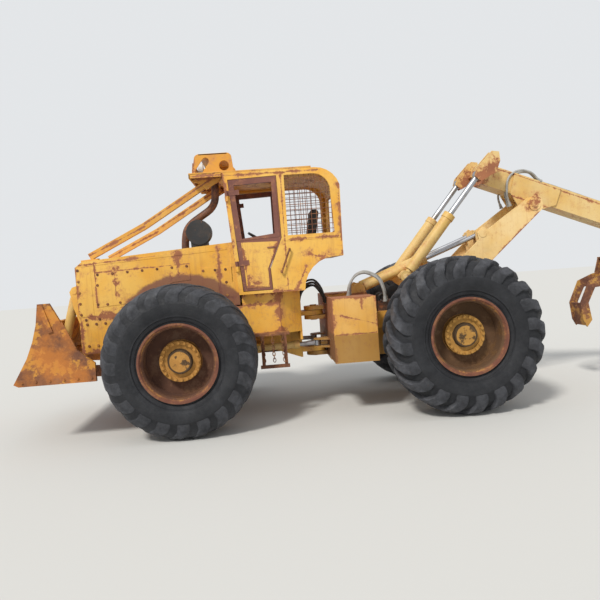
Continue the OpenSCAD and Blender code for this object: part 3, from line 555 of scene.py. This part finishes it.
def smooth_path(points, share=6):
    """Places along a smooth curve through the points."""
    path, last = [], len(points) - 1
    for k in range(last):
        p = [Vector(points[min(max(k + d, 0), last)]) for d in (-1, 0, 1, 2)]
        for i in range(share):
            t = i / share
            path.append(0.5 * (2 * p[1] + (p[2] - p[0]) * t + (2 * p[0] - 5 * p[1] + 4 * p[2] - p[3]) * t * t
                               + (3 * p[1] - p[0] - 3 * p[2] + p[3]) * t ** 3))
    return path + [Vector(points[-1])]


def swept(bm, path, radius, sides=10, shape=lambda k, last: 1.0):
    """A closed round tube along a path, its radius scaled by shape."""
    cuts, across = [], None
    last = len(path) - 1
    for k, p in enumerate(path):
        ahead = (path[min(k + 1, last)] - path[max(k - 1, 0)]).normalized()
        across = ahead.orthogonal() if across is None else across - ahead * across.dot(ahead)
        across.normalize()
        other = ahead.cross(across)
        size = radius * shape(k, last)
        turns = [2 * math.pi * i / sides for i in range(sides)]
        cuts.append([bm.verts.new(p + size * (across * math.cos(a) + other * math.sin(a))) for a in turns])
    for a, b in zip(cuts, cuts[1:]):
        for i in range(sides):
            bm.faces.new((a[i], a[(i + 1) % sides], b[(i + 1) % sides], b[i]))
    bm.faces.new(cuts[0])
    bm.faces.new(cuts[-1])


def tubes(name, body, material, runs, radius):
    """Round bars along straight or smooth paths, as one mesh."""
    bm = bmesh.new()
    for path in runs:
        swept(bm, [Vector(p) for p in path], radius)
    return finished(name, bm, body, material, smooth=50)


rods = []
for side in (-1, 1):
    foot, head = [(rear_x - 1.999, side * 0.742, 1.749), (rear_x - 1.882, side * 0.742, 2.032)]
    rods.append([(foot[0], side * 0.699, foot[2] + 0.02), (foot[0], side * 0.736, foot[2] + 0.004), foot, head,
                 (head[0], side * 0.736, head[2] - 0.004), (head[0], side * 0.699, head[2] - 0.02)])
tubes("grab_rods", "front", bare_rust, rods, radius=0.011)
window_edge = at([(-1950, 2125), (-1950, 2963), *bend(-1545, 2690, 272, 90, 10), (-1262, 2125)])
window_gap = at([(-1890, 2190), (-1890, 2905), *bend(-1560, 2690, 215, 90, 15), (-1325, 2190)])
plates("window_bands", "front", cab_paint, both_sides([([window_edge, window_gap], skin_y, sheet)]))

# Roof guard. Rounded lamp plates with their hand holes, a brow over the windscreen and two bent struts down to
# the nose that keep branches off the stack, all cut from plate and welded.
guard_lines = beside(front_x, [
    (0.19, 2.955, 1.64, 2.955, 0.03), (0.22, 3.0, 0.24, 3.2, 0.05),
    (-1.1, 2.12, -0.41, 2.43, 0.02), (-0.41, 2.46, 0.5, 2.98, 0.022)])
guard_paint = painted(
    "guard_paint", (0.68, 0.32, 0.035), (0.72, 0.40, 0.09), rust=0.62, streaks=0.6, soil=0.4, lines=guard_lines)
dress(["roof_guard"], guard_paint)
lamp_plate = at([(-3000, 2990), (-2976, 3053), (-2962, 3150), *bend(-2890, 3187, 68, 150, 90, 4),
                 *bend(-2560, 3191, 64, 90, 20, 4), (-2478, 2990)])
hand_slot = at(bend(-2905, 3045, 43, 142, 322, 8) + bend(-2815, 3165, 43, -38, 142, 8))
hand_hole = at(bend(-2595, 3100, 60, 0, 348.75, 31))
brow = at([(-3005, 2955), (-2985, 2913), (-2900, 2900), (-2830, 2815), (-2770, 2855), (-2660, 2913),
           (-2640, 2955), (-2640, 2975), (-3005, 2975)])
struts = strip(at([(-4300, 2108), (-3612, 2437), (-2716, 2963)]), 0.082)
foot = at([(-4400, 2053), (-4400, 2073), (-4200, 2085), (-4200, 2065)])
rain_lip = panel(-3010, 2935, -2630, 2985)
roof_sheet = panel(-3010, 2975.3, -1560, 2995.3)
front_lip = panel(-3010, 2935, -2994, 2985)
top_bar = panel(-2900, 3237, -2550, 3254)
lamp_back = at([(-2992, 3010), (-2975, 3150), (-2967, 3150), (-2984, 3010)])
guard = plates("roof_guard_plates", "front", guard_paint, both_sides([
    ([lamp_plate, hand_slot, hand_hole], 0.480, 0.020), ([brow], 0.492, 0.020), ([struts], 0.450, 0.060),
    ([foot], 0.450, 0.100), ([rain_lip], 0.694, 0.012)]) + [
    ([roof_sheet], 0, 1.400), ([front_lip], 0, 1.400), ([top_bar], 0, 0.980), ([lamp_back], 0, 0.980)], 0.003)
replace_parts(guard, "roof_guard")

# Step chains. Short lengths of welded steel chain hang each step from the body beside its straps, so that a
# stump can push the step aside without bending it. They are as rusty as the step.


def chain(bm, top, bottom, links):
    """Oval links from top to bottom, each turned a quarter from the last."""
    a, b = Vector(top), Vector(bottom)
    pitch = (b - a).length / links
    down = (b - a).normalized()
    for k in range(links):
        middle = a + down * pitch * (k + 0.5)
        across = Vector((1, 0, 0)) if k % 2 else Vector((0, 1, 0))
        path = []
        for i in range(13):
            angle = 2 * math.pi * i / 12
            path.append(middle + across * math.cos(angle) * pitch * 0.42 + down * math.sin(angle) * pitch * 0.74)
        swept(bm, path, 0.0048, 6)


bm = bmesh.new()
for side in (-1, 1):
    for x in (-2.29, -2.17, -2.05):
        chain(bm, (rear_x + x, side * 0.772, 1.0), (rear_x + x + 0.01, side * 0.772, 0.70), 8)
finished("step_chains", bm, "front", bare_rust, smooth=50)

# Exhaust, air cleaner, engine and lamps. A steel pipe, burnt brown and flaking, comes up through the hood in
# smooth bends and is clamped at its foot. The cleaner is a black drum on a saddle, dulled by dust and oil.


def dark_metal(name, tone, dusty, rust):
    made, tree, shader = finish_of(name)
    place = here(tree)
    colour = mixed(tree, band(tree, cloud(tree, place, 6.0, 8.0, 0.68), 0.42, 0.7), tone, dusty)
    tones = use(tree, rust_tones, Scale=1.5)
    broad, fine = cloud(tree, place, 11.0, 8.0, 0.7), cloud(tree, place, 60.0)
    broken = weighted(tree, (broad, 0.7), (fine, 0.3))
    colour = mixed(tree, band(tree, broken, 0.62 - 0.2 * rust, 0.68 - 0.2 * rust), colour, tones["Color"])
    tree.links.new(colour, shader.inputs["Base Color"])
    tree.links.new(band(tree, cloud(tree, place, 12.0), 0.3, 0.7, 0.45, 0.8), shader.inputs["Roughness"])
    bump(tree, shader, fine, 0.3, 0.003)
    return made


burnt = dark_metal("burnt_pipe", (0.085, 0.038, 0.028), (0.17, 0.08, 0.05), 0.7)
oily = dark_metal("oily_metal", (0.020, 0.020, 0.021), (0.065, 0.05, 0.04), 0.2)
dress(["exhaust"], burnt)
stack_y, bend_reach = -0.3, 0.13
bends = [(-3.165, 1.861), (-3.165, 2.22), (-3.12, 2.41), (-2.75, 2.64), (-2.735, 2.95)]
corners = [Vector((rear_x + x, stack_y, z)) for x, z in bends]
pipe = [corners[0]]
for before, corner, after in zip(corners, corners[1:], corners[2:]):
    ways = [side - corner for side in (before, after)]
    start, end = (corner + way.normalized() * min(bend_reach, way.length * 0.48) for way in ways)
    pipe += [start.lerp(corner, t).lerp(corner.lerp(end, t), t) for t in (0.0, 0.17, 0.33, 0.5, 0.67, 0.83, 1.0)]
bm = bmesh.new()
swept(bm, pipe + [corners[-1]], 0.047, 24)
for low, high in ((1.90, 1.93), (2.10, 2.13)):
    swept(bm, [Vector((corners[0].x, stack_y, z)) for z in (low, high)], 0.054, 24)
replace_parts(finished("exhaust_pipe", bm, "front", burnt, smooth=50), "exhaust")
dress(["engine", "air_cleaner", "console"], oily)
dress(["valve_bank"], dark_metal("valve_steel", (0.05, 0.035, 0.03), (0.12, 0.07, 0.045), 0.7))

glass, tree, shader = finish_of("lamp_lens")
axes = add(tree, "ShaderNodeSeparateXYZ", {0: here(tree)}).outputs
lamps_middle = front_x + 0.95
out = add(tree, "ShaderNodeMath", {0: axes["X"], 1: lamps_middle}, operation="SUBTRACT").outputs[0]
out = add(tree, "ShaderNodeMath", {0: out}, operation="ABSOLUTE").outputs[0]
pane = band(tree, out, 0.60, 0.603)
tree.links.new(mixed(tree, pane, (0.03, 0.03, 0.03), (0.75, 0.78, 0.76)), shader.inputs["Base Color"])
tree.links.new(band(tree, pane, 0.0, 1.0, 0.6, 0.12), shader.inputs["Roughness"])
dress(["lamps"], glass)

# Seat. A vinyl cushion and back stuffed with foam, each with its sewn channels, bolted to a sheet steel
# pedestal on the cab's floor. The vinyl has gone dull and dusty.
vinyl, tree, shader = finish_of("seat_vinyl")
place = here(tree)
worn_vinyl = band(tree, cloud(tree, place, 7.0, 7.0, 0.65), 0.42, 0.7)
tree.links.new(mixed(tree, worn_vinyl, (0.022, 0.021, 0.020), (0.085, 0.075, 0.062)), shader.inputs["Base Color"])
tree.links.new(band(tree, worn_vinyl, 0.0, 1.0, 0.45, 0.8), shader.inputs["Roughness"])
bump(tree, shader, cloud(tree, place, 240.0, 3.0), 0.25, 0.001)


def stuffed(name, turned, size):
    """A foam pad under vinyl: a box blown up with Cloth, then its sewn channels pressed in."""
    slack, most_swell, last_frame = 0.034, 0.024, 20
    seams, seam_width, seam_depth = (-0.12, 0.0, 0.12), 0.007, 0.006
    bm = bmesh.new()
    bmesh.ops.create_cube(bm, size=1.0, matrix=Matrix.Diagonal((*[v - slack for v in size], 1)))
    bmesh.ops.bevel(bm, geom=bm.edges, offset=0.016, segments=3, affect="EDGES")
    mesh = bpy.data.meshes.new(name)
    bm.to_mesh(mesh)
    bm.free()
    pad = bpy.data.objects.new(name, mesh)
    bpy.context.scene.collection.objects.link(pad)
    grid = pad.modifiers.new("grid", "REMESH")
    grid.mode, grid.voxel_size = "VOXEL", 0.006
    pad.data = bpy.data.meshes.new_from_object(pad.evaluated_get(bpy.context.evaluated_depsgraph_get()))
    pad.modifiers.clear()
    before = [v.co.copy() for v in pad.data.vertices]
    air = pad.modifiers.new("air", "CLOTH").settings
    air.use_pressure, air.uniform_pressure_force, air.effector_weights.gravity = True, 4.0, 0.0
    for k in range(1, last_frame + 1):
        bpy.context.scene.frame_set(k)
    pad.data = bpy.data.meshes.new_from_object(pad.evaluated_get(bpy.context.evaluated_depsgraph_get()))
    pad.modifiers.clear()
    bpy.context.scene.frame_set(1)
    finer = pad.modifiers.new("finer", "SUBSURF")
    finer.levels = finer.render_levels = 1
    for v, old in zip(pad.data.vertices, before):
        move = v.co - old
        v.co = old + move.normalized() * min(move.length, most_swell)
        v.co = Vector([max(-half, min(half, q)) for q, half in zip(v.co, [d / 2 for d in size])])
    mesh = bpy.data.meshes.new_from_object(pad.evaluated_get(bpy.context.evaluated_depsgraph_get()))
    bpy.data.objects.remove(pad)
    facing = [v.normal.copy() for v in mesh.vertices]
    for v, outward in zip(mesh.vertices, facing):
        groove = max(math.exp(-((v.co.y - line) / seam_width) ** 2) for line in seams)
        v.co -= outward * seam_depth * groove
    mesh.transform(turned)
    mesh.materials.clear()
    mesh.materials.append(vinyl)
    made = settle(name, mesh, "front", 60)
    return made


cushion = stuffed("seat_cushion", Matrix.Translation((rear_x - 1.870, 0, 1.940)), (0.46, 0.48, 0.14))
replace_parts(cushion, "seat")
back_foot, back_middle = (rear_x - 1.660, 0, 1.960), (0.055, 0, 0.31)
lean = Matrix.Rotation(math.radians(10), 4, "Y")
upright_back = Matrix.Translation(back_foot) @ lean @ Matrix.Translation(back_middle)
stuffed("seat_back", upright_back, (0.11, 0.48, 0.62))
plates("seat_pedestal", "front", oily, [
    ([panel(-2060, 1561, -1795, 1868)], 0, 0.40),
    ([panel(-2085, 1862, -1655, 1872)], 0, 0.44)], 0.004)

# Blade. Thick plate with ribs welded to its ends and a row of bolts low on each, carried by two arms. Soil and
# logs have scoured it to orange rust that still holds yellow in its corners.
blade_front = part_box("blade")[0][0]
blade_lines = [
    (blade_front, 0.75, blade_front + 0.9, 0.75, 0.10), (blade_front + 0.33, 1.68, blade_front + 0.48, 1.68, 0.06)]


def orange_rust(tree, colour):
    """Fresh rust on the steel that still works."""
    fresh = band(tree, cloud(tree, here(tree), 2.6, 7.0, 0.65), 0.38, 0.62, 0.0, 0.75)
    return mixed(tree, fresh, colour, (0.55, 0.19, 0.030))


blade_steel = worked("blade_steel", (0.56, 0.25, 0.03), 0.55, scale=0.6, lines=blade_lines, tint=orange_rust)
dress(["blade"], blade_steel)
ribs = []
for side in (-1, 1):
    ribs.append(([strip(at([(-4690, 1585), (-4596, 1278)]), 0.055)], side * 1.158, 0.016))
    ribs.append(([at([(-4478, 1372), (-4466, 1392), (-4335, 1085), (-4352, 1082)])], side * 1.154, 0.008))
plates("blade_ribs", "blade", blade_steel, ribs)
spots = []
for y in (-1.1505, 1.1505):
    spots += row(rear_x - 4.96, 0.745, rear_x - 4.20, 0.745, 6, y)
bolts("blade_bolts", "blade", blade_steel, radius=0.014, spots=spots)

# Wheels. Deep-dish steel rims with a flange rusted dark, a brown barrel with brake dust, mud and painted shade,
# and a yellow planetary hub. The tyres are moulded rubber with chevron lugs that reach over the shoulder.


def wheel_look(name, x, z, barrel_grime_and_shade, hub_tone):
    """A rim's colours change with the distance from its axle."""
    def tones(tree, colour):
        far = plus(tree, ring(tree, x, z), times(tree, cloud(tree, here(tree), 12.0), 0.02))
        barrel = times(tree, band(tree, far, 0.235, 0.25), band(tree, far, 0.40, 0.41, 0.85, 0.0))
        # The barrel goes dark brown: brake dust and mud, and painted shade inside the deep dish.
        colour = mixed(tree, barrel, colour, barrel_grime_and_shade)
        colour = mixed(tree, band(tree, far, 0.405, 0.425, 0.0, 0.7), colour, (0.15, 0.052, 0.034))
        hub = band(tree, far, 0.235, 0.25, 0.7, 0.0)
        colour = mixed(tree, hub, colour, hub_tone)
        gap = times(tree, band(tree, far, 0.118, 0.124), band(tree, far, 0.148, 0.156, 0.9, 0.0))
        colour = mixed(tree, gap, colour, (0.018, 0.013, 0.010))
        oil = band(tree, cloud(tree, here(tree), 9.0, 6.0, 0.7), 0.54, 0.60)
        oil = times(tree, oil, band(tree, far, 0.118, 0.124, 0.85, 0.0))
        return mixed(tree, oil, colour, (0.020, 0.015, 0.012))
    return worked(name, (0.40, 0.19, 0.05), amount=0.45, scale=1.6, tint=tones)


rear_axle_z = float(sum(corner[2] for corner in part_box("wheel_rear_left")) / 2)
# The front rims' barrels are darker still, painted shade in their deeper dish.
front_look = wheel_look("front_rim", front_x, front_axle_z, (0.09, 0.040, 0.024), (0.50, 0.25, 0.045))
rear_look = wheel_look("rear_rim", rear_x, rear_axle_z, (0.105, 0.058, 0.026), (0.50, 0.27, 0.050))
dress(["wheel_front_left", "wheel_front_right"], front_look)
dress(["wheel_rear_left", "wheel_rear_right"], rear_look)

rubber, tree, shader = finish_of("tyre_rubber")
place = here(tree)
dusty = band(tree, cloud(tree, place, 4.5, 8.0, 0.7), 0.42, 0.72)
# The lighter blue-grey tone follows a vertex attribute. It is real scuffing where the tyre is worn, plus a painted
# highlight on the lug tops that leaves painted shade in the grooves.
scuff_and_highlight_mask = add(tree, "ShaderNodeAttribute", attribute_name="scuff_and_highlight").outputs["Fac"]
tone = mixed(tree, times(tree, dusty, 0.5), (0.009, 0.010, 0.013), (0.030, 0.032, 0.038))
blotches = band(tree, cloud(tree, place, 9.0, 8.0, 0.75), 0.3, 0.7, 0.15, 1.0)
tone = mixed(tree, times(tree, scuff_and_highlight_mask, blotches), tone, (0.075, 0.078, 0.090))
tree.links.new(tone, shader.inputs["Base Color"])
tree.links.new(band(tree, cloud(tree, place, 8.0), 0.3, 0.7, 0.6, 0.85), shader.inputs["Roughness"])
cells = add(tree, "ShaderNodeTexVoronoi", {"Vector": place, "Scale": 26.0}, feature="DISTANCE_TO_EDGE")
cracks = band(tree, cells.outputs["Distance"], 0.0, 0.06, 0.0, 0.35)
grain = plus(tree, cracks, times(tree, cloud(tree, place, 55.0, 6.0, 0.7), 0.6))
bump(tree, shader, grain, 0.6, 0.006)


def carcass_point(profile, s):
    """The point and the outward normal at distance s along a profile of (radius, y) points."""
    for (r0, y0), (r1, y1) in zip(profile, profile[1:]):
        length = math.hypot(r1 - r0, y1 - y0)
        if s <= length or (r1, y1) == profile[-1]:
            t = min(max(s / length, 0), 1)
            return r0 + (r1 - r0) * t, y0 + (y1 - y0) * t, (y1 - y0) / length, (r0 - r1) / length
        s -= length


def tyre(node, body, radius, lug, lugs, half, turn, worn):
    """A tyre: its lathe-turned carcass, then its lugs swept from the middle of the tread over the shoulder."""
    low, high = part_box(node)
    middle = (low + high) / 2
    r, rim = radius - lug, 0.4147
    outline = [
        (rim, half - 0.062), (rim + 0.012, half - 0.050), (rim + 0.040, half - 0.048), (rim + 0.052, half - 0.036),
        (rim + 0.085, half - 0.030), (rim + 0.095, half - 0.014), (rim + 0.115, half - 0.012),
        (rim + 0.125, half - 0.004), (rim + 0.23, half), (r - 0.19, half - 0.002), (r - 0.18, half - 0.010),
        (r - 0.10, half - 0.022), (r - 0.055, half - 0.044), (r - 0.022, half - 0.085), (r - 0.006, half - 0.15),
        (r, half - 0.23), (r, 0)]
    outline = outline + [(q[0], -q[1]) for q in reversed(outline[:-1])]
    bm = bmesh.new()
    scuff_and_highlight = bm.verts.layers.float.new("scuff_and_highlight")
    steps, rings = 120, []
    for k in range(steps):
        a = 2 * math.pi * k / steps
        cut = []
        for q in outline:
            where = Vector((q[0] * 6 + turn, q[1] * 5, 0)) + Vector((math.cos(a) * 3, math.sin(a) * 3, 0))
            out = q[0] + 0.004 * noise.noise(where)
            v = bm.verts.new((middle.x + out * math.cos(a), middle.y + q[1], middle.z + out * math.sin(a)))
            # Near the tread the carcass is lighter with scuffing, which grows with wear.
            v[scuff_and_highlight] = max(0.0, (q[0] - r + 0.10) / 0.10) * (0.02 + 0.75 * worn)
            cut.append(v)
        rings.append(cut)
    for k in range(steps):
        a, b = rings[k], rings[(k + 1) % steps]
        for i in range(len(outline) - 1):
            bm.faces.new((a[i], a[i + 1], b[i + 1], b[i]))
        bm.faces.new((a[-1], a[0], b[0], b[-1]))
    tread = [(r, 0.012), (r, half - 0.23), (r - 0.006, half - 0.15), (r - 0.022, half - 0.085),
             (r - 0.055, half - 0.044), (r - 0.10, half - 0.022), (r - 0.19, half - 0.006)]
    length = sum(math.hypot(b[0] - a[0], b[1] - a[1]) for a, b in zip(tread, tread[1:]))
    lug_section = [(-1.18, -0.02), (-1.0, 0.9), (-0.92, 1.0), (0.92, 1.0), (1.0, 0.9), (1.18, -0.02)]
    for side in (-1, 1):
        for k in range(lugs):
            base = 2 * math.pi * (k + (0.5 if side > 0 else 0)) / lugs + turn
            rows = []
            for i in range(14):
                t = i / 13
                q = carcass_point(tread, t * length)
                at_end = i in (0, 13)
                tall = lug * (1.0 if t < 0.66 else max(0.14, 1 - (t - 0.66) / 0.38)) * (0.5 if at_end else 1)
                skew = base + 0.34 * min(t / 0.8, 1.0)
                wide = (0.044 + 0.020 * min(t / 0.7, 1.0)) * (0.85 if at_end else 1)
                wide *= 1 + 0.06 * noise.noise(Vector((k * 3.1, t * 4, side + turn)))
                cut = []
                for across, up_by in lug_section:
                    height = tall * up_by
                    rad, off = q[0] + q[2] * height, q[1] + q[3] * height
                    ang = skew + across * wide / max(rad, 0.5)
                    x, z = middle.x + rad * math.cos(ang), middle.z + rad * math.sin(ang)
                    v = bm.verts.new((x, middle.y + side * off, z))
                    # Lug tops take the full lighter tone as a painted highlight; their sides stay dark as painted
                    # shade.
                    v[scuff_and_highlight] = (1.0 if up_by > 0.7 else 0.2) * (1.0 if t < 0.75 else 0.5)
                    cut.append(v)
                rows.append(cut)
            for a, b in zip(rows, rows[1:]):
                for i in range(5):
                    bm.faces.new((a[i], a[i + 1], b[i + 1], b[i]))
            bm.faces.new(rows[0])
            bm.faces.new(rows[-1])
    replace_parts(finished(node + "_moulded", bm, body, rubber, smooth=38), node)


for node, body, turn in (("tyre_rear_left", "wheel_rl", 0.1), ("tyre_rear_right", "wheel_rr", 0.5)):
    tyre(node, body, radius=0.8975, lug=0.050, lugs=20, half=0.308, turn=turn, worn=0.05)
for node, body, turn in (("tyre_front_left", "wheel_fl", 0.3), ("tyre_front_right", "wheel_fr", 0.9)):
    tyre(node, body, radius=0.8575, lug=0.012, lugs=20, half=0.308, turn=turn, worn=1.0)

# Rear frame and side tanks. Heavy plate boxes beside the hinge; the lower faces turn under and are darkened brown
# with painted shade, and the top edge and the front corner are rusted through their paint.
tank_front, tank_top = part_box("side_tanks")[0][0], 1.405


def shaded_below(tree, colour):
    """Painted shade: below a ragged height the faces that turn under go darker brown."""
    height = add(tree, "ShaderNodeSeparateXYZ", {0: here(tree)}).outputs["Z"]
    ragged = times(tree, cloud(tree, here(tree), 7.0, 7.0, 0.7), 0.05)
    low = band(tree, plus(tree, times(tree, height, 0.5), ragged), 0.507, 0.515, 0.62, 0.0)
    return mixed(tree, low, colour, (0.17, 0.082, 0.016))


tank_lines = beside(tank_front, [
    (0, tank_top, 0.8, tank_top, 0.045), (0, 0.66, 0, tank_top, 0.045),
    (0.35, 1.26, 0.35, 1.40, 0.03), (0.1, 1.2, 0.5, 1.08, 0.02),
    (0.52, 1.06, 0.52, tank_top, 0.03), (0, 0.976, 0.5, 0.976, 0.02)])
tank_paint = painted("tank_paint", (0.68, 0.34, 0.05), (0.74, 0.43, 0.12), rust=0.4, streaks=0.5, soil=0.5,
                     lines=tank_lines, tint=shaded_below)
dress(["rear_frame", "side_tanks"], tank_paint)
spots = []
for y in (-0.8105, 0.8105):
    spots += row(rear_x - 0.92, 1.10, rear_x - 0.92, 1.34, 4, y)
bolts("tank_bolts", "rear", bare_rust, radius=0.011, spots=spots)

# Arch, boom and their cylinders. Plate and box section, paler than the rest because they stand in the sun.
# The cylinders' barrels are painted with them, and their chromed rods have gone dull in patches.
arch_lines = beside(rear_x, [
    (-0.45, 1.60, 0.60, 1.65, 0.04), (0.2, 1.24, 1.4, 2.3, 0.025),
    (0.65, 2.15, 1.25, 2.49, 0.025), (1.33, 2.40, 1.36, 2.40, 0.16)])
dress(["arch"], painted("arch_paint", (0.78, 0.47, 0.12), (0.84, 0.62, 0.30), rust=0.35, streaks=0.45, soil=0.35,
                        lines=arch_lines))
boom_lines = beside(rear_x, [
    (0.58, 2.66, 0.78, 2.90, 0.24), (0.80, 2.94, 2.4, 2.30, 0.025),
    (0.75, 2.66, 2.4, 2.02, 0.03), (1.30, 2.30, 1.40, 2.50, 0.08)])
dress(["boom"], painted("boom_paint", (0.70, 0.44, 0.13), (0.74, 0.55, 0.25), rust=0.5, streaks=0.45, soil=0.4,
                        lines=boom_lines))
barrel_paint = painted(
    "barrel_paint", (0.62, 0.38, 0.08), (0.70, 0.50, 0.20), rust=0.62, streaks=0.5, soil=0.7)
dress(["arch_barrels", "boom_barrels", "blade_barrels", "tong_barrel"], barrel_paint)
dress(["steer_barrel_left", "steer_barrel_right"], barrel_paint)

chrome, tree, shader = finish_of("chromed_rod")
shader.inputs["Metallic"].default_value = 1.0
place = here(tree)
dulled = band(tree, cloud(tree, place, 5.0, 3.0, 0.5), 0.45, 0.75)
tree.links.new(mixed(tree, dulled, (0.44, 0.45, 0.48), (0.30, 0.28, 0.26)), shader.inputs["Base Color"])
tree.links.new(band(tree, cloud(tree, place, 6.0, 3.0), 0.3, 0.7, 0.38, 0.48), shader.inputs["Roughness"])
dress(["blade_rods", "steer_rod_left", "steer_rod_right", "arch_rods", "boom_rods", "tong_rod"], chrome)

# Grapple. A cast link and a rotator hang on the boom's tip and carry a frame with two curved tongs, cut from
# thick plate. All of it is worn to rusted steel that keeps a little paint in its corners.
grapple_steel = worked("grapple_steel", (0.46, 0.24, 0.05), amount=0.5)
dress(["link", "rotator", "grapple_frame", "tong_front", "tong_rear"], grapple_steel)

# Hoses. Wire-braided rubber, each swaged into a steel nut and sleeve at both ends. Those that cross the hinge
# or the boom's pin stand in a loose arc between the two bodies; the rest stay on one.
def hose_look(name, scale, tone, dusty, rough):
    made, tree, shader = finish_of(name)
    dust = band(tree, cloud(tree, here(tree), scale, 8.0), 0.4, 0.7)
    tree.links.new(mixed(tree, dust, tone, dusty), shader.inputs["Base Color"])
    shader.inputs["Roughness"].default_value = rough
    return made


hose_rubber = hose_look("hose_rubber", 9.0, (0.014, 0.014, 0.015), (0.06, 0.052, 0.045), 0.6)
pale_hose = hose_look("pale_hose", 8.0, (0.40, 0.40, 0.38), (0.20, 0.18, 0.15), 0.65)


def hoses(name, runs, radius, body, material, between=None):
    """Hoses with a swaged fitting at each end, as one mesh on one body, or with its placement baked in and on no
    body.
    """
    bm = bmesh.new()
    for points in runs:
        path = smooth_path(points)
        swept(bm, path, radius)
        for a, b in ((path[0], path[1]), (path[-1], path[-2])):
            way = (b - a).normalized()
            nut_and_sleeve = [a, a + way * 0.02, a + way * 0.021, a + way * 0.06]
            swept(bm, nut_and_sleeve, radius, 10, lambda k, last: 1.7 if k < 2 else 1.35)
    made = finished(name, bm, body, material, smooth=50)
    if between:
        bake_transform(made)


hinge_x = (rear_x + front_x) / 2
runs = []
for k in range(5):
    y = -0.12 - 0.045 * k
    top = 1.50 + 0.035 * (k % 3)
    runs.append([
        (hinge_x - 0.21, y, 1.30 + 0.03 * (k % 2)), (hinge_x - 0.14, y - 0.03, top),
        (hinge_x, y - 0.05, top + 0.06), (hinge_x + 0.10, y - 0.03, top - 0.05), (hinge_x + 0.15, y, 1.33)])
over_hinge = ("front", "rear", (hinge_x - 0.19, 0, 1.3), (hinge_x + 0.15, 0, 1.3))
hoses("hinge_hoses", runs, 0.014, None, hose_rubber, over_hinge)
arc = [(-1.19, 1.40), (-1.165, 1.54), (-1.09, 1.64), (-0.99, 1.675), (-0.90, 1.65), (-0.80, 1.58), (-0.745, 1.44),
       (-0.735, 1.30)]
runs = [[(rear_x + x + 0.02 * k, -0.50 + 0.05 * k, z + 0.015 * k) for x, z in arc] for k in range(2)]
hoses("tank_hoses", runs, 0.016, "rear", pale_hose)


def at_depths(points, depths):
    """One run of places at each depth in Y, from the run's number."""
    return [[(x, y, z) for x, z in at(points(k))] for k, y in enumerate(depths)]


runs = at_depths(lambda k: [(1066, 2396), (1029, 2560), (1060 + 20 * k, 2760), (1190, 2850 - 25 * k), (1352, 2826),
                            (1458, 2724), (1500, 2690)], (-0.16, -0.11, 0.13))
over_boom_pin = ("arch", "boom", (runs[0][1][0], 0, 2.5), (runs[0][4][0], 0, 2.7))
hoses("boom_hoses", runs, 0.014, None, pale_hose, over_boom_pin)
runs = at_depths(lambda k: [(1500, 2690 + 8 * k), (1700, 2622 + 8 * k), (2130, 2446 + 8 * k), (2560, 2276)],
                 (-0.11, -0.07))
hoses("boom_top_hoses", runs, 0.013, "boom", pale_hose)
loop = [(-745, 1285), (-738, 1350), (-692, 1380), (-644, 1360), (-630, 1285)]
hoses("valve_hoses", at_depths(lambda k: loop, (-0.12, -0.06, 0.0, 0.06, 0.12)), 0.013, "rear", hose_rubber)
